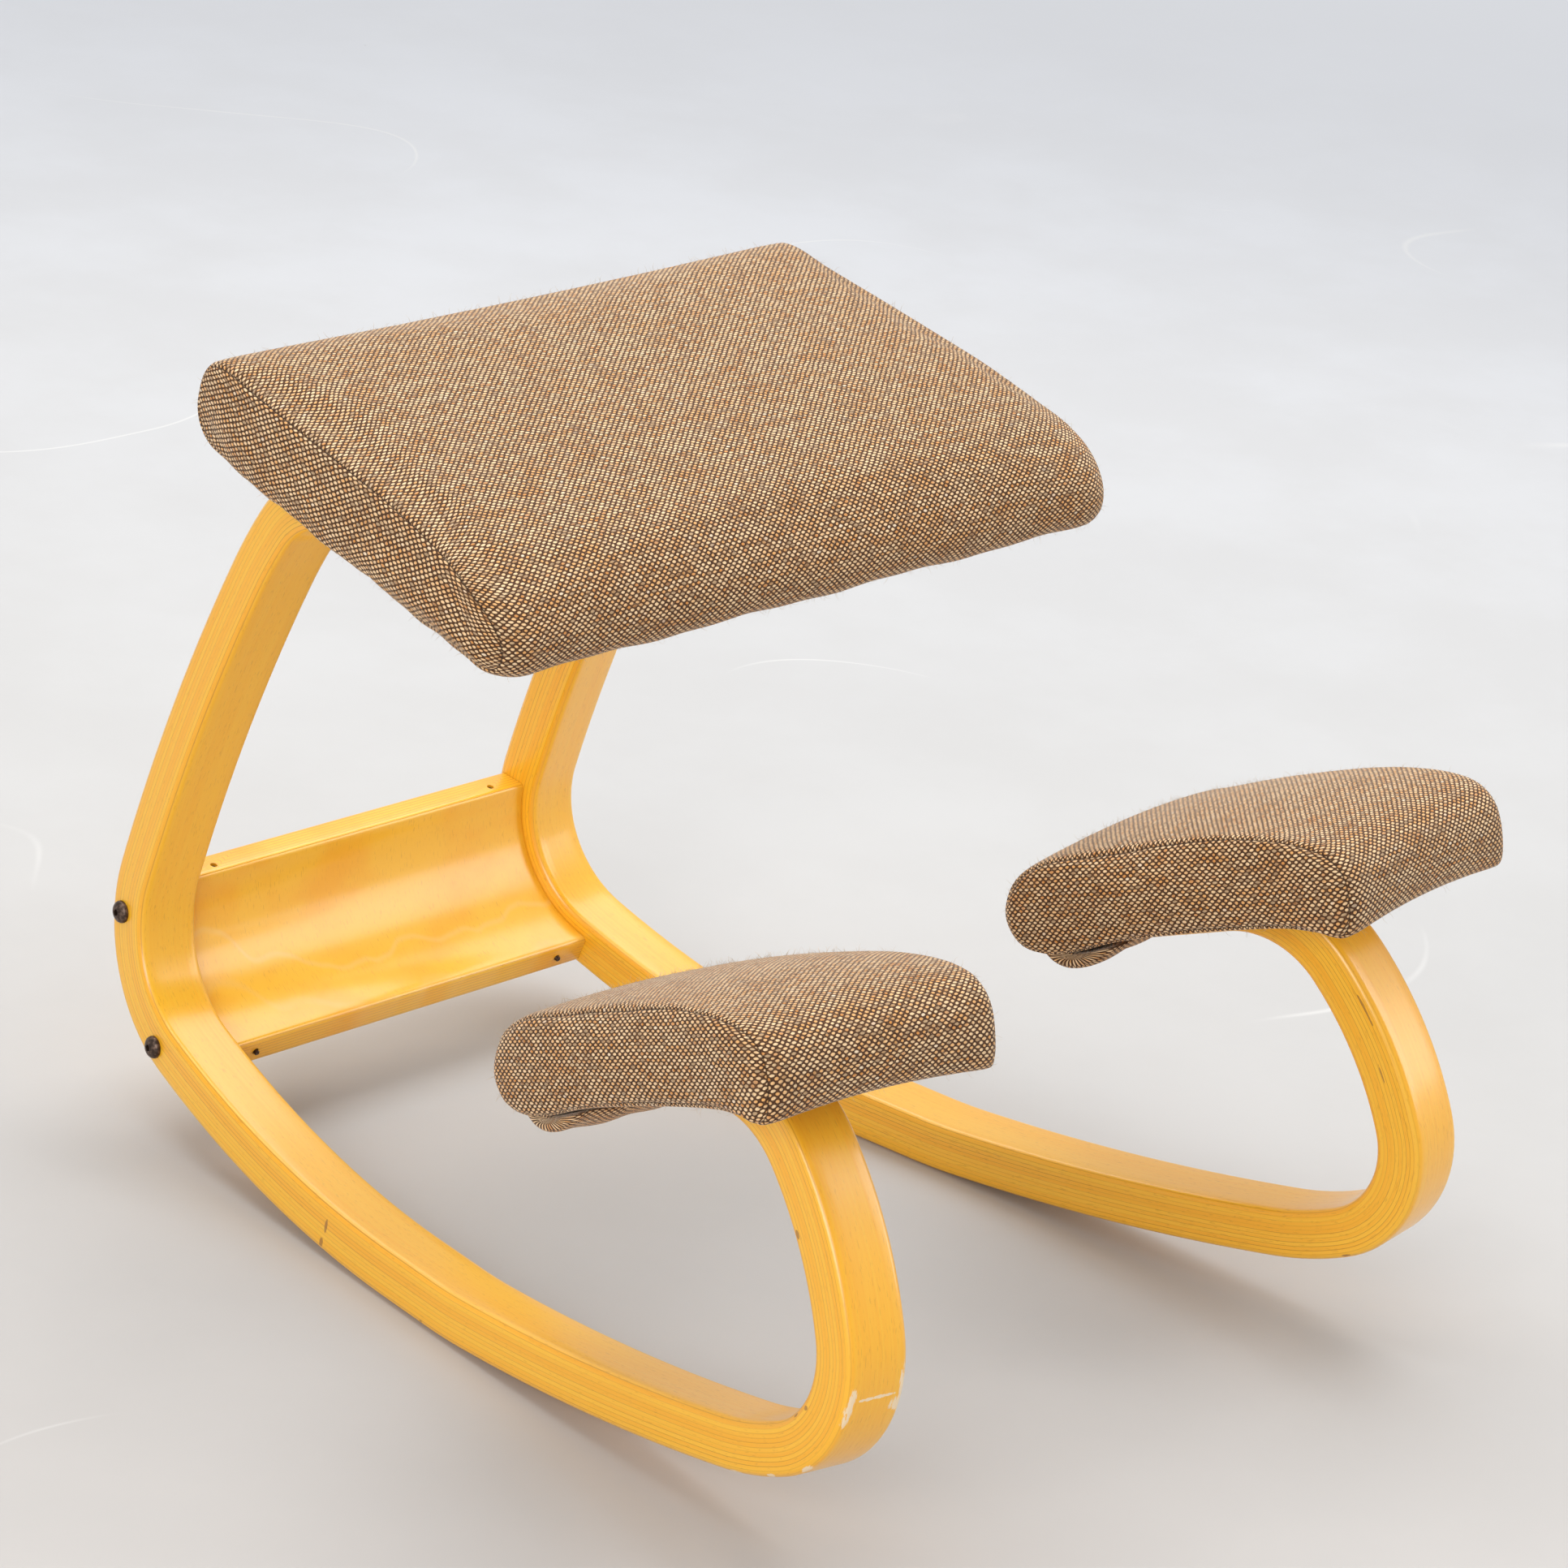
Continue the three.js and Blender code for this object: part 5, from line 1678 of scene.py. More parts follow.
@dataclass
class SeatBoard:
    """The plywood board inside the seat's cover, narrowed to the rear like the cushion."""

    cushion: SeatCushion
    thick: float = 0.012
    raised: float = 0.0018
    margin: float = 0.009
    corner: float = 0.014
    corner_steps: int = 8

    def build(self, place: Matrix) -> Piece:
        """Makes the board.

        Args:
            place: The seat's own frame in the chair.

        Returns:
            The board.
        """
        front = self.cushion.overhang - self.cushion.deep + self.margin
        rear = self.cushion.overhang - self.margin
        half_front, half_rear = (self.cushion.half_width(np.array(y)) - self.margin for y in (front, rear))
        rows = []
        corners = ((half_front, front, -1), (half_rear, rear, 1), (-half_rear, rear, 1), (-half_front, front, -1))
        for quarter, (x, y, way) in enumerate(corners):
            angle = (quarter - 1 + np.linspace(0.0, 1.0, self.corner_steps)) * math.pi / 2
            inner = (x - math.copysign(self.corner, x), y - way * self.corner)
            rows.append(inner + self.corner * np.stack([np.cos(angle), np.sin(angle)], 1))
        loop = np.concatenate(rows)
        levels = (self.raised, self.raised + self.thick)
        rings = [np.column_stack([loop, np.full(len(loop), z)]) for z in levels]
        points = moved(np.concatenate(rings), place)
        return mesh_object("seat_board_plywood", points, capped_faces(len(rings), len(loop)), 30.0)


@dataclass
class KneePad(BoxedCushion):
    """An arched knee pad in the left pad's frame."""

    name: str = "pad_cushion"
    corner_radius: float = 0.014
    seam_radius: float = 0.007
    low_seam_radius: float = 0.006
    crown: float = 0.007
    bulge: float = 0.002
    set_in: float = 0.0008
    swell: float = 0.0025
    cells: float = 0.0045
    long: float = 0.240
    thick: float = 0.049
    wide: float = 0.161
    forward: float = 0.161
    skirt: float = 0.016
    wrap_from: float = 0.010
    hang: float = 0.0055
    shell: PadShell = field(default_factory=PadShell)
    hang_from: float = -0.115
    hang_to: float = -0.155
    hang_below: float = -0.004
    hang_full: float = -0.022
    hang_middle: float = 0.25
    rear_low: int = 12
    shares: tuple[Pair, ...] = (
        (0.031, -0.52), (0.004, -0.29), (0.0, 0.12), (0.031, 0.36), (0.096, 0.51), (0.26, 0.64),
        (0.48, 0.665), (0.7, 0.62), (0.86, 0.56), (0.955, 0.36), (1.0, -0.02), (0.975, -0.34),
        (0.905, -0.48), (0.8, -0.49), (0.7, -0.43), (0.63, -0.4), (0.455, -0.36), (0.235, -0.38),
        (0.105, -0.46),
    )

    def outline(self) -> tuple[np.ndarray, Corners]:
        """Rows of y and z round the side, and its corners."""
        knots = np.array(self.shares) * (self.long, self.thick) - (self.forward, 0.0)
        rows = rounded_loop(knots[::-1], self.cells)
        return rows, four_corners(rows, [knots[0], knots[self.rear_low]])

    def half_width(self, y: np.ndarray) -> np.ndarray:
        """Half of the width."""
        return np.full(np.shape(y), self.wide / 2)

    def span(self) -> Pair:
        """The middle and half of the length."""
        return self.long / 2 - self.forward, self.long / 2

    def lift(self, outline: np.ndarray, share: np.ndarray) -> np.ndarray:
        """The crown of the top."""
        middle, half = self.span()
        along = (outline[:, 0] - middle) / half
        low, high = outline[:, 1].min(), outline[:, 1].max()
        height = (outline[:, 1] - low) / (high - low)
        up = np.maximum(0.0, self.outward(outline)[:, 1])
        return self.crown * up * height * np.maximum(0.0, 1 - along**2) * (1 - share**2)

    def fitted(self, side: Side) -> Matrix:
        """How a side's pad differs from the other in size and place."""
        if side is Side.LEFT:
            return Matrix.Translation((0.003, 0.0, -0.0028)) @ Matrix.Diagonal((0.975, 0.975, 1.015, 1.0))
        return Matrix.Translation((-0.004, 0.003, 0.0)) @ Matrix.Diagonal((1.03, 0.993, 1.03, 1.0))

    def over_shell(self, points: np.ndarray) -> tuple[np.ndarray, np.ndarray]:
        """Which points lie under the shell and inside the skirt.

        Args:
            points: The pad's points in its own frame.

        Returns:
            Whether each of them does, and how high it is to lie against the shell.
        """
        top = self.shell.curve(0.6 * self.shell.thick)
        order = np.argsort(top[:, 0])
        height = np.interp(points[:, 1], top[order, 0], top[order, 1])
        inside = (points[:, 1] > top[:, 0].min()) & (points[:, 1] < self.wrap_from)
        inside &= np.abs(points[:, 0]) < self.wide / 2 - self.skirt
        return inside & (points[:, 2] < height), height

    def pinned(self, points: np.ndarray) -> np.ndarray:
        """The underside is held by the shell."""
        return self.over_shell(points)[0]

    def finish_shape(self, points: np.ndarray) -> np.ndarray:
        """Raises the underside into the shell, and lets the two front corners hang.

        Args:
            points: The pad's points in its own frame.

        Returns:
            The points after that.
        """
        inside, height = self.over_shell(points)
        x, y, z = points.T
        front = np.clip((self.hang_from - y) / (self.hang_from - self.hang_to), 0.0, 1.0)
        low = np.clip((self.hang_below - z) / (self.hang_below - self.hang_full), 0.0, 1.0)
        outwards = np.clip(2 * np.abs(x) / self.wide, 0.0, 1.0) ** 2
        hung = z - self.hang * front * low * (outwards - self.hang_middle)
        return np.column_stack([x, y, np.where(inside, height, hung)])


@dataclass
class HemFold:
    """The folded hem of a pad's cover, drawn in under the hooked rear of its shell."""

    half_wide: float = 0.0765
    round_end: float = 0.0035
    cells: float = 0.0035
    stations: int = 36
    end_shares: tuple[float, ...] = (0.35, 0.7, 0.9, 1.0)
    end_close: float = 0.93
    end_deep: float = 0.35
    sags: tuple[Triple, ...] = ((0.0006, 170.0, 0.0), (0.0004, 61.0, 1.0))
    knots: tuple[Pair, ...] = (
        (0.0060, -0.0200), (0.0110, -0.0240), (0.0190, -0.0275), (0.0300, -0.0298), (0.0420, -0.0290),
        (0.0510, -0.0240), (0.0555, -0.0165), (0.0540, -0.0100), (0.0450, -0.0170), (0.0300, -0.0215),
        (0.0150, -0.0205),
    )

    def build(self, name: str, place: Matrix) -> Piece:
        """Makes the fold.

        Args:
            name: Name of the piece.
            place: The pad's own frame in the chair.

        Returns:
            The fold with its cloth map.
        """
        loop = rounded_loop(np.array(self.knots), self.cells)
        count, middle = len(loop), loop.mean(0)
        flat = np.linspace(-1.0, 1.0, self.stations) * (self.half_wide - self.round_end)
        ends = [(flat[-1] + self.round_end * share, share) for share in self.end_shares]
        stops = [(-x, share) for x, share in ends[::-1]] + [(x, 0.0) for x in flat] + ends
        rings = []
        run = run_round(loop)
        for x, share in stops:
            keep = math.sqrt(1 - (self.end_close * share) ** 2)
            sag = sum(deep * math.sin(x * often + start) for deep, often, start in self.sags)
            ring = middle + (loop - middle) * (self.end_deep + (1 - self.end_deep) * keep, keep)
            rings.append(np.column_stack([np.full(count, x), ring[:, 0], ring[:, 1] + sag]))
        piece = mesh_object(name, np.concatenate(rings), capped_faces(len(rings), count), ALL_SMOOTH)
        layer = piece.data.uv_layers.new(name=CLOTH_MAP)
        spots = {r * count + i: (stops[r][0], run[i]) for r in range(len(rings)) for i in range(count)}
        for loop_corner in piece.data.loops:
            layer.data[loop_corner.index].uv = spots[loop_corner.vertex_index]
        return settled(refined(piece), place)


# Repeated pieces, made with Geometry Nodes


class Scatter:
    """A Geometry Nodes tree that sets one small piece on many places."""

    def __init__(self, name: str) -> None:
        """Starts an empty tree with a geometry input and output.

        Args:
            name: Name of the tree.
        """
        self.tree = bpy.data.node_groups.new(name, "GeometryNodeTree")
        self.tree.interface.new_socket("Geometry", in_out="INPUT", socket_type="NodeSocketGeometry")
        self.tree.interface.new_socket("Geometry", in_out="OUTPUT", socket_type="NodeSocketGeometry")
        self.source = self.tree.nodes.new("NodeGroupInput")
        self.sink = self.tree.nodes.new("NodeGroupOutput")
        self.values: dict[str, object] = {}

    def size(self, name: str, kind: str, value) -> Socket:
        """Adds a named input and keeps the value that it is to have.

        Args:
            name: Name of the input.
            kind: Its type.
            value: Its value, or None for the material.

        Returns:
            The input, as the nodes read it.
        """
        made = self.tree.interface.new_socket(name, in_out="INPUT", socket_type=f"NodeSocket{kind}")
        self.values[made.identifier] = value
        return self.source.outputs[made.identifier]

    def node(self, kind: str, inputs: dict | None = None, **settings) -> bpy.types.Node:
        """Adds a node.

        Args:
            kind: Blender's name of the node.
            inputs: Values or sockets for its inputs, by name or number.
            settings: Values for its properties.

        Returns:
            The node.
        """
        made = self.tree.nodes.new(kind)
        for key, value in settings.items():
            setattr(made, key, value)
        for key, value in (inputs or {}).items():
            if isinstance(value, Socket):
                self.tree.links.new(value, made.inputs[key])
            else:
                made.inputs[key].default_value = value
        return made

    def turned(self, spots: bpy.types.Node, reach: Triple, seed: int, space: str) -> Socket:
        """A random turn for each spot.

        Args:
            spots: The node that gives the spots and their rotation.
            reach: The largest turn about each axis, either way.
            seed: Seed of the random values.
            space: Whose axes it turns about.

        Returns:
            The rotation.
        """
        limits = {0: tuple(-angle for angle in reach), 1: reach, "Seed": seed}
        chance = self.node("FunctionNodeRandomValue", limits, data_type="FLOAT_VECTOR")
        inputs = {0: spots.outputs["Rotation"], 1: chance.outputs[0]}
        return self.node("FunctionNodeRotateRotation", inputs, rotation_space=space).outputs[0]

    def finish(self, spots: bpy.types.Node, inputs: dict) -> None:
        """Ends the tree in Instance on Points, Realize Instances and Set Material.

        Args:
            spots: The node that gives the spots.
            inputs: What is set on them, by the names of the inputs.
        """
        instances = self.node("GeometryNodeInstanceOnPoints", {"Points": spots.outputs[0], **inputs}).outputs[0]
        material = self.size("Material", "Material", None)
        solid = self.node("GeometryNodeRealizeInstances", {0: instances})
        dressed = self.node("GeometryNodeSetMaterial", {"Geometry": solid.outputs[0], "Material": material})
        self.tree.links.new(dressed.outputs[0], self.sink.inputs[0])

    def run(self, carrier: Piece, material: Finish) -> Piece:
        """Runs the tree on an object.

        Args:
            carrier: The object.
            material: The finish of what is set on it.

        Returns:
            The same object as the plain mesh that results.
        """
        live = carrier.modifiers.new(self.tree.name, "NODES")
        live.node_group = self.tree
        for identifier, value in self.values.items():
            live[identifier] = material if value is None else value
        return baked(carrier)


@dataclass
class Staples:
    """The wire staples that hold a cover's hem under the seat."""

    pitch: float = 0.021
    wide: float = 0.010
    wire: float = 0.0005
    proud: float = 0.0007
    jitter: Triple = (0.1, 0.12, 0.02)
    seed: int = 5

    def build(self, name: str, line: np.ndarray, place: Matrix, material: Finish) -> Piece:
        """Sets staples along a closed line.

        Args:
            name: Name of the piece.
            line: Points of the line in the cushion's frame.
            place: The cushion's own frame in the chair.
            material: Finish of the wire.

        Returns:
            The staples as one plain mesh.
        """
        mesh = bpy.data.meshes.new(name)
        count = len(line)
        mesh.from_pydata(line.tolist(), [(i, (i + 1) % count) for i in range(count)], [])
        carrier = added(name, mesh)
        tree = Scatter("staples")
        pitch = tree.size("Pitch", "Float", self.pitch)
        wide = tree.size("Width", "Float", self.wide)
        wire = tree.size("Wire", "Float", self.wire)
        curve = tree.node("GeometryNodeMeshToCurve", {"Mesh": tree.source.outputs[0]})
        inputs = {"Curve": curve.outputs[0], "Length": pitch}
        spots = tree.node("GeometryNodeCurveToPoints", inputs, mode="LENGTH")
        size = tree.node("ShaderNodeCombineXYZ", {0: wire, 1: wire, 2: wide})
        bar = tree.node("GeometryNodeMeshCube", {"Size": size.outputs[0]})
        rounded = {"Mesh": bar.outputs[0], "Level": 1, "Edge Crease": 0.6}
        wire_bar = tree.node("GeometryNodeSubdivisionSurface", rounded)
        turned = tree.turned(spots, self.jitter, self.seed, "GLOBAL")
        tree.finish(spots, {"Instance": wire_bar.outputs[0], "Rotation": turned})
        piece = tree.run(carrier, material)
        piece.data.transform(place)
        face_outwards(piece)
        return piece


@dataclass
class Fuzz:
    """Fine loose wool fibres that stand off a tweed cover."""

    density: float = 30000.0
    thick: float = 0.00009
    low: float = 0.0012
    high: float = 0.0048
    lean: Triple = (1.1, 1.1, 3.14)
    seed: int = 11
    lean_seed: int = 3
    length_seed: int = 7

    def fibre(self) -> Piece:
        """Makes one bent, tapering fibre of unit length on a triangular section.

        Returns:
            The fibre.
        """
        angle = np.arange(3) * 2 * math.pi / 3
        rings = []
        for height, shift, size in ((0.0, 0.0, 1.0), (0.6, 0.12, 0.75), (1.0, 0.45, 0.3)):
            rings.append(ring_of(size * self.thick / self.high, angle, height) + (shift, 0.0, 0.0))
        return mesh_object("fibre", np.concatenate(rings), capped_faces(3, 3), ALL_SMOOTH)

    def build(self, name: str, cover: Piece, material: Finish) -> Piece:
        """Sets fibres all over a cover.

        Args:
            name: Name of the piece.
            cover: The finished cushion.
            material: Finish of the fibres.

        Returns:
            The fibres as one plain mesh.
        """
        fibre = self.fibre()
        carrier = cover.copy()
        carrier.name = name
        carrier.data = cover.data.copy()
        bpy.context.scene.collection.objects.link(carrier)
        tree = Scatter("fuzz")
        density = tree.size("Density", "Float", self.density)
        low = tree.size("Shortest", "Float", self.low)
        high = tree.size("Longest", "Float", self.high)
        seed = tree.size("Seed", "Int", self.seed)
        inputs = {"Mesh": tree.source.outputs[0], "Density": density, "Seed": seed}
        spots = tree.node("GeometryNodeDistributePointsOnFaces", inputs)
        one = tree.node("GeometryNodeObjectInfo", {"Object": fibre})
        turned = tree.turned(spots, self.lean, self.lean_seed, "LOCAL")
        limits = {2: low, 3: high, "Seed": self.length_seed}
        size = tree.node("FunctionNodeRandomValue", limits, data_type="FLOAT")
        tree.finish(spots, {"Instance": one.outputs["Geometry"], "Rotation": turned, "Scale": size.outputs[1]})
        piece = tree.run(carrier, material)
        bpy.data.objects.remove(fibre)
        return piece


# Scene


@dataclass(frozen=True)
class Studio:
    """The camera, the lamps, the floor and the pale surroundings."""

    eye: Triple = (-2.40652, -2.15879, 1.59950)
    azimuth: float = 48.354
    elevation: float = 22.218
    roll: float = 6.613
    lens: float = 147.0
    sensor: float = 36.0
    aim: Triple = (0.0, 0.0, 0.2)
    surroundings: float = 0.44
    seen_level: float = 0.70
    sky: Triple = (0.97, 0.985, 1.0)
    backdrop: Triple = (0.675, 0.690, 0.725)
    near_floor: Triple = (0.578, 0.551, 0.528)
    mid_floor: Triple = (0.580, 0.573, 0.564)
    far_floor: Triple = (0.685, 0.695, 0.725)
    clouded: Triple = (0.50, 0.485, 0.47)
    scratched: Triple = (0.80, 0.79, 0.77)
    speckled: Triple = (0.10, 0.08, 0.07)
    floor_front: float = -6.0
    floor_rear: float = 5.0
    floor_side: float = 9.0
    cove: float = 2.0
    cove_steps: int = 16
    wall_high: float = 7.0

    def camera(self) -> None:
        """Sets up the camera at the photograph's viewing angle."""
        az, el, roll = (math.radians(value) for value in (self.azimuth, self.elevation, self.roll))
        ahead = Vector((math.sin(az) * math.cos(el), math.cos(az) * math.cos(el), -math.sin(el)))
        level = ahead.cross(Vector((0.0, 0.0, 1.0))).normalized()
        right = level * math.cos(roll) + level.cross(ahead) * math.sin(roll)
        up = right.cross(ahead)
        data = bpy.data.cameras.new("camera")
        data.lens, data.sensor_width = self.lens, self.sensor
        data.clip_start, data.clip_end = 0.05, 100.0
        camera = added("camera", data)
        camera.matrix_world = Matrix.Translation(self.eye) @ Matrix((right, up, -ahead)).transposed().to_4x4()
        bpy.context.scene.camera = camera

    def lamp(self, name: str, place: Triple, size: Pair, power: float) -> None:
        """Adds a rectangular lamp that points at the chair.

        Args:
            name: Name of the lamp.
            place: Where it hangs.
            size: Its two sides.
            power: Its power in watts.
        """
        data = bpy.data.lights.new(name, "AREA")
        data.shape, data.energy = "RECTANGLE", power
        data.size, data.size_y = size
        turn = (Vector(self.aim) - Vector(place)).to_track_quat("-Z", "Y").to_matrix().to_4x4()
        added(name, data).matrix_world = Matrix.Translation(place) @ turn

    def lamps(self) -> None:
        """Adds the large soft lamps."""
        self.lamp("overhead", (0.5, 0.7, 2.6), (3.4, 3.0), 88.0)
        self.lamp("right_front", (2.1, -1.8, 1.3), (1.0, 1.7), 23.0)
        self.lamp("left_front", (-2.6, -1.0, 1.3), (1.6, 1.2), 40.0)

    def world(self) -> None:
        """Sets the pale surroundings, which light the object softly."""
        world = bpy.data.worlds.new("surroundings")
        world.use_nodes = True
        tree = world.node_tree
        background = tree.nodes["Background"]
        background.inputs["Color"].default_value = (*self.sky, 1.0)
        rays = tree.nodes.new("ShaderNodeLightPath")
        seen = rays.outputs["Is Camera Ray"]
        for name in ("Is Glossy Ray", "Is Transmission Ray"):
            total = tree.nodes.new("ShaderNodeMath")
            total.operation, total.use_clamp = "ADD", True
            tree.links.new(seen, total.inputs[0])
            tree.links.new(rays.outputs[name], total.inputs[1])
            seen = total.outputs[0]
        level = tree.nodes.new("ShaderNodeMapRange")
        level.inputs["To Min"].default_value = self.surroundings
        level.inputs["To Max"].default_value = self.seen_level
        tree.links.new(seen, level.inputs["Value"])
        tree.links.new(level.outputs[0], background.inputs["Strength"])
        bpy.context.scene.world = world

    def floor(self) -> None:
        """Lays the mottled pale floor, which rises to a backdrop far behind."""
        rise = np.linspace(0.0, math.pi / 2, self.cove_steps)[1:]
        cove = [(self.floor_rear + self.cove * math.sin(a), self.cove * (1 - math.cos(a))) for a in rise]
        wall = self.floor_rear + self.cove
        profile = [(self.floor_front, 0.0), (self.floor_rear, 0.0), *cove, (wall, self.wall_high)]
        rows = np.array([(x, y, z) for y, z in profile for x in (-self.floor_side, self.floor_side)])
        turn = Matrix.Rotation(-math.radians(self.azimuth), 4, "Z")
        faces = strip_faces(len(profile), 2, closed=False)
        mesh = bpy.data.meshes.new("floor")
        mesh.from_pydata(moved(rows, turn).tolist(), [], faces)
        floor = added("floor", mesh)
        floor.data.shade_smooth()
        floor.data.materials.append(self.floor_finish())

    def floor_finish(self) -> Finish:
        """The floor's finish: pale grey with soft clouds, faint scratches and a few specks.

        Returns:
            The material, which glows evenly far away wherever it is seen.
        """
        g = Graph("floor")
        where = g.node("ShaderNodeTexCoord").outputs["Object"]
        turn = math.radians(self.azimuth)
        ahead = {0: where, 1: (math.sin(turn), math.cos(turn), 0.0)}
        away = g.node("ShaderNodeVectorMath", ahead, operation="DOT_PRODUCT").outputs["Value"]
        colour = g.mix(g.span(away, -0.6, 0.3), self.near_floor, self.mid_floor)
        colour = g.mix(g.span(away, 0.3, 2.6), colour, self.far_floor)
        clouds = g.noise(where, 4.0, 7.0, 0.62)
        colour = g.mix(g.span(clouds, 0.35, 0.68, 0.22, 0.0), colour, self.clouded)
        thread = g.span(g.from_zero(g.centred(g.noise(where, 1.7, 1.0))), 0.0, 0.0022, 1.0, 0.0)
        patchy = g.mask(g.noise(where, 2.6, 3.0), (0.54, 0.66, 0.5))
        colour = g.mix(g.times(thread, patchy), colour, self.scratched)
        speck = g.node("ShaderNodeTexVoronoi", {"Vector": where, "Scale": 9.0})
        grit = g.span(speck.outputs["Distance"], 0.014, 0.024, 0.7, 0.0)
        rare = g.span(g.parts(speck.outputs["Color"])[0], 0.86, 0.88)
        colour = g.mix(g.times(grit, rare), colour, self.speckled)
        distance = g.node("ShaderNodeVectorMath", {0: where}, operation="LENGTH").outputs["Value"]
        rays = g.node("ShaderNodeLightPath").outputs
        seen = g.plus(rays["Is Camera Ray"], rays["Is Glossy Ray"])
        seen = g.plus(seen, rays["Is Transmission Ray"], clamp=True)
        far = g.times(g.span(distance, 1.5, 3.2), seen)
        return g.surface(
            Base_Color=g.mix(far, colour, (0.0, 0.0, 0.0)), Roughness=0.85, Specular_IOR_Level=0.15,
            Emission_Color=self.backdrop, Emission_Strength=far,
        )


@dataclass
class Finishes:
    """Every finish of the chair, each made once."""

    runner_left: Finish = field(init=False)
    runner_right: Finish = field(init=False)
    panel: Finish = field(init=False)
    tweed: Finish = field(init=False)
    bronzed: Finish = field(init=False)
    zinc: Finish = field(init=False)
    shell: Finish = field(init=False)
    board: Finish = field(init=False)
    dust_cloth: Finish = field(init=False)
    wool: Finish = field(init=False)

    def __post_init__(self) -> None:
        """Makes the materials."""
        worn = (
            WornSpot((0.362, 0.003, 0.0145), (0.013, 0.006, 0.006)),
            WornSpot((0.356, 0.001, 0.0140), (0.007, 0.006, 0.003)),
            WornSpot((0.368, 0.037, 0.0140), (0.019, 0.005, 0.007)),
            WornSpot((0.360, 0.034, 0.0145), (0.006, 0.006, 0.004)),
            WornSpot((0.365, 0.020, 0.0145), (0.0013, 0.020, 0.003)),
            WornSpot((0.322, 0.002, 0.0139), (0.007, 0.004, 0.003)),
            WornSpot((0.296, 0.001, 0.0140), (0.005, 0.003, 0.003)),
            WornSpot((0.270, 0.001, 0.0140), (0.008, 0.003, 0.002)),
        )
        marks = (
            WornSpot((0.448, 0.000, -0.010), (0.0040, 0.003, 0.0020)),
            WornSpot((0.3436, 0.000, -0.010), (0.0030, 0.003, 0.0018)),
            WornSpot((0.3307, 0.000, -0.0125), (0.0050, 0.003, 0.0018)),
            WornSpot((-0.0863, 0.000, 0.009), (0.0030, 0.004, 0.006)),
            WornSpot((-0.0845, 0.000, -0.002), (0.0022, 0.004, 0.007)),
            WornSpot((0.0067, 0.000, 0.0125), (0.0045, 0.003, 0.0028)),
        )
        crack = (
            WornSpot((0.461, 0.039, 0.0090), (0.0160, 0.003, 0.0012)),
            WornSpot((0.424, 0.039, 0.0020), (0.0100, 0.003, 0.0008)),
            WornSpot((0.305, 0.039, 0.0130), (0.0060, 0.003, 0.0016)),
        )
        self.runner_left = LacqueredWood("beech_left", 0.029, 13.0, worn=worn, marks=marks).material()
        self.runner_right = LacqueredWood("beech_right", 0.029, 13.0, marks=crack).material()
        self.panel = LacqueredWood(
            "panel_veneer", 0.018, 9.0, middle=0.0035, figure=True, streaks=0.5, contrast=0.40, glue=0.85
        ).material()
        self.tweed = Tweed().material()
        self.bronzed = BronzedSteel().material()
        self.zinc = PlainFinish(
            "zinc_steel", (0.42, 0.42, 0.43), (0.55, 0.55, 0.55), 300.0, 0.35, 0.9
        ).material()
        self.shell = PlainFinish(
            "shell_plywood", (0.42, 0.25, 0.12), (0.58, 0.38, 0.19), 60.0, 0.6, stretch=(8.0, 1.0, 1.0)
        ).material()
        self.board = PlainFinish(
            "board_plywood", (0.52, 0.35, 0.19), (0.66, 0.47, 0.28), 40.0, 0.7, stretch=(1.0, 10.0, 1.0)
        ).material()
        self.dust_cloth = PlainFinish(
            "dust_cloth", (0.018, 0.018, 0.017), (0.045, 0.044, 0.042), 900.0, 0.9
        ).material()
        self.wool = PlainFinish("loose_wool", (0.42, 0.30, 0.19), (0.70, 0.56, 0.40), 300.0, 0.9).material()


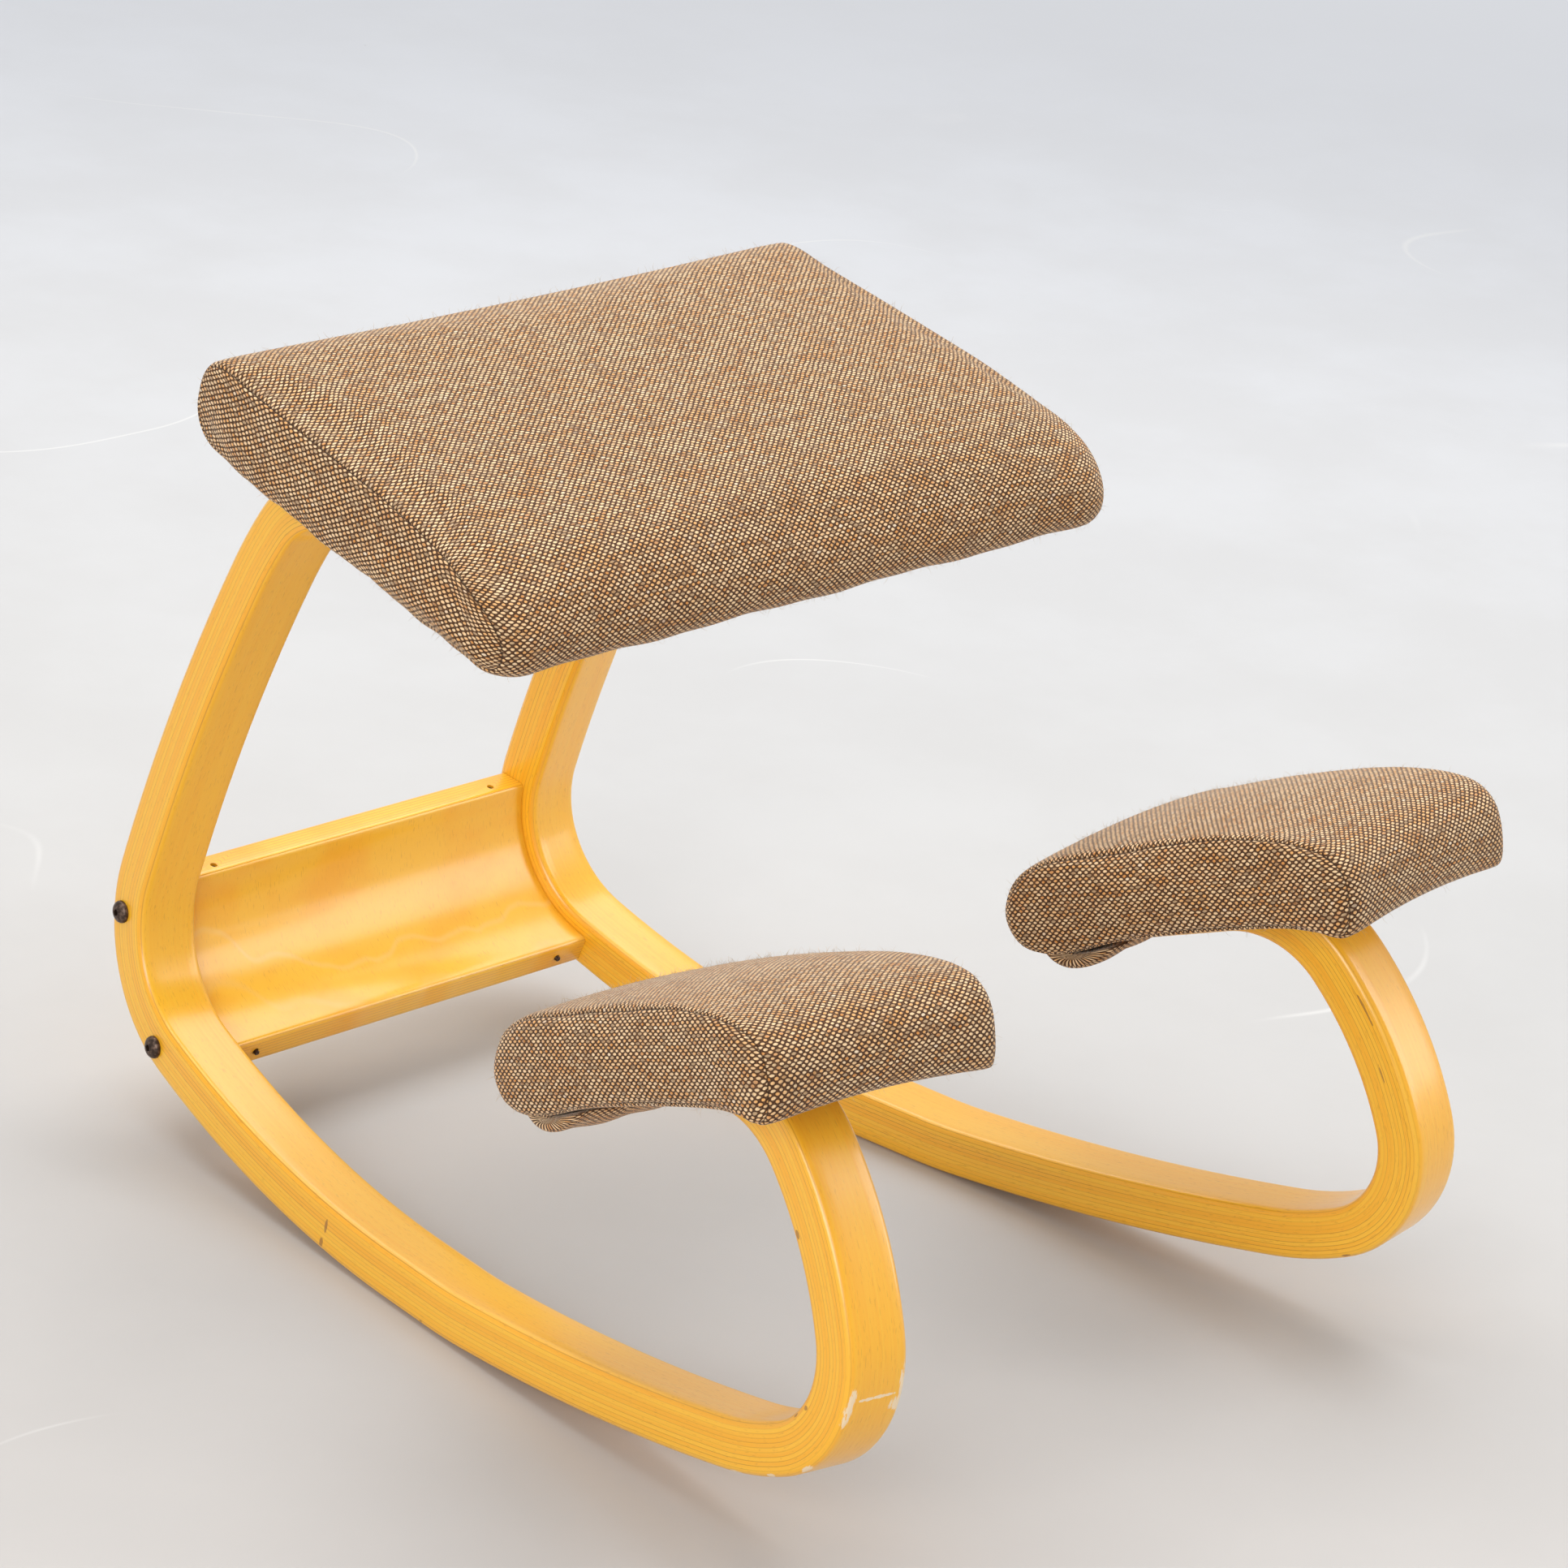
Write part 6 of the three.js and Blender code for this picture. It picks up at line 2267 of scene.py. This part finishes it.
@dataclass
class KneelingChair:
    """The whole chair, dressed around its frame."""

    runner: Runner = field(default_factory=Runner)
    shell: PadShell = field(default_factory=PadShell)
    bolt: ButtonBolt = field(default_factory=ButtonBolt)
    seat: SeatCushion = field(default_factory=SeatCushion)
    pad: KneePad = field(default_factory=KneePad)
    hem_fold: HemFold = field(default_factory=HemFold)
    fuzz: Fuzz = field(default_factory=Fuzz)
    spot_face: float = 0.0071
    spot_deep: float = 0.002
    spot_reach: float = 0.03
    fit: float = 0.0003
    seat_bolt_inset: float = 0.024
    pad_bolt_pitch: float = 0.030
    panel_bolt_length: float = 0.059
    rail_bolt_length: float = 0.030
    cushion_fill: float = 0.8
    fold_fill: float = 0.3

    def __post_init__(self) -> None:
        """Makes the panel from the runner's path, and the finishes."""
        self.panel = CrossPanel(self.runner)
        self.finishes = Finishes()

    def dress(self, piece: Piece, finish: Finish, slot: str, *nodes: str) -> None:
        """Gives a piece its finish, hides the nodes that it replaces and hangs it on the root body.

        Args:
            piece: The piece.
            finish: Its material.
            slot: Not used.
            nodes: The nodes that it replaces.
        """
        piece.data.materials.clear()
        piece.data.materials.append(finish)
        if nodes:
            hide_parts(*nodes)
        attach(piece, "root")
        log.info("%s: %d faces", piece.name, len(piece.data.polygons))

    def under_rail_bolts(self) -> dict[str, Matrix]:
        """Where the heads of the left half's seat and pad bolts bear.

        Returns:
            The place of each bolt by its name, with its shank upwards.
        """
        lower = -(self.runner.thick + self.fit - self.spot_deep)
        flip = Matrix.Rotation(math.pi, 4, "X")
        seat, runner = self.runner.seat_place, self.runner
        rail_end = runner.rear.run[-1]
        ends = [
            seat.inverted() @ runner.leaning @ runner.rear.section(run, runner.wide / 2, runner.thick / 2)
            for run in (rail_end - runner.seat_rail, rail_end)
        ]
        found = {}
        for end, y in (("rear", -self.seat_bolt_inset), ("front", self.seat_bolt_inset - runner.seat_rail)):
            x = ends[0].x + (ends[1].x - ends[0].x) * (y - ends[0].y) / (ends[1].y - ends[0].y)
            found[f"{end}_seat_bolt"] = seat @ Matrix.Translation((x, y, lower)) @ flip
        for end, way in (("front", -1), ("rear", 1)):
            place = Matrix.Translation((0.0, way * self.pad_bolt_pitch / 2, lower))
            found[f"{end}_pad_bolt"] = runner.pad_place @ place @ flip
        return found

    def build_runners(self) -> None:
        """Makes both runners with the recesses for the bolt heads under their rails."""
        recesses = []
        for place in self.under_rail_bolts().values():
            head = place.translation
            down = (place.to_3x3() @ Vector((0.0, 0.0, 1.0))).normalized()
            recesses.append((head, head + down * self.spot_reach, self.spot_face))
        for side in Side:
            piece = self.runner.build(side, self.shell, recesses)
            finish = self.finishes.runner_left if side is Side.LEFT else self.finishes.runner_right
            self.dress(piece, finish, "lacquered_beech", f"{side.word}_runner")

    def build_panel(self) -> None:
        """Makes the cross panel and its locking pins."""
        self.dress(self.panel.build(), self.finishes.panel, "panel_plywood", "cross_panel")
        for pin in self.panel.pins():
            self.dress(pin, self.finishes.bronzed, "bronzed_steel", pin.name.replace("_pin", "_locking_pin"))

    def build_bolts(self) -> None:
        """Makes the twelve bolts."""
        outward = Matrix.Rotation(-math.pi / 2, 4, "Y")
        for side in Side:
            spots = {}
            for level, run in zip(("lower", "upper"), self.panel.bolt_runs()):
                centre = Matrix.Translation(self.panel.middle(run, -self.fit))
                place = self.runner.leaning @ centre @ outward
                spots[f"{level}_panel_bolt"] = (place, self.panel_bolt_length)
            for name, place in self.under_rail_bolts().items():
                spots[name] = (place, self.rail_bolt_length)
            for name, (place, length) in spots.items():
                piece = self.bolt.build(f"{side.word}_{name}_head", length, side.turn @ place)
                self.dress(piece, self.finishes.bronzed, "bronzed_steel", f"{side.word}_{name}")

    def build_cushions(self) -> None:
        """Makes the seat cushion and the two knee pads."""
        seat = self.seat.build(self.runner.seat_place)
        self.dress(seat, self.finishes.tweed, "tweed", "seat_cover", "seat_foam")
        self.add_fuzz(seat)
        board = SeatBoard(self.seat).build(self.runner.seat_place)
        self.dress(board, self.finishes.board, "seat_plywood", "seat_board")
        staples = Staples()
        line = self.seat.hem_line(-staples.proud)
        wires = staples.build("seat_hem_staples", line, self.runner.seat_place, self.finishes.zinc)
        self.dress(wires, self.finishes.zinc, "zinc_steel")
        for side in Side:
            self.pad.name = f"{side.word}_knee_pad"
            place = side.turn @ self.runner.pad_place @ self.pad.fitted(side)
            pad = self.pad.build(place)
            self.dress(pad, self.finishes.tweed, "tweed", f"{side.word}_pad_cover", f"{side.word}_pad_foam")
            self.add_fuzz(pad)
            fold = self.hem_fold.build(f"{side.word}_pad_hem_fold", place)
            self.dress(fold, self.finishes.tweed, "tweed")

    def add_fuzz(self, cover: Piece) -> None:
        """Sets loose fibres on a cover."""
        fuzz = self.fuzz.build(f"{cover.name}_fuzz", cover, self.finishes.wool)
        self.dress(fuzz, self.finishes.wool, "tweed")

    def dress_kept_nodes(self) -> None:
        """Gives the nodes whose shape stays as it is their finishes."""
        kept = {
            "tee_nut": (self.finishes.zinc, "zinc_steel"),
            "panel_sleeve": (self.finishes.zinc, "zinc_steel"),
            "pad_shell": (self.finishes.shell, "pad_shell_plywood"),
            "seat_dust_cloth": (self.finishes.dust_cloth, "dust_cloth"),
        }
        for name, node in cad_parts.items():
            for ending, (finish, slot) in kept.items():
                if name.endswith(ending):
                    node.data.materials.clear()
                    node.data.materials.append(finish)

    def build(self) -> None:
        """Makes every piece in order."""
        self.build_runners()
        self.build_panel()
        self.build_bolts()
        self.build_cushions()
        self.dress_kept_nodes()


def main() -> None:
    """Builds the chair and its studio."""
    logging.basicConfig(level=logging.INFO, format="%(message)s")
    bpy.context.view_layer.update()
    studio = Studio()
    studio.camera()
    studio.lamps()
    studio.world()
    studio.floor()
    KneelingChair().build()
    bpy.context.scene.view_settings.view_transform = "Standard"
    bpy.context.view_layer.update()


if __name__ == "__main__":
    main()
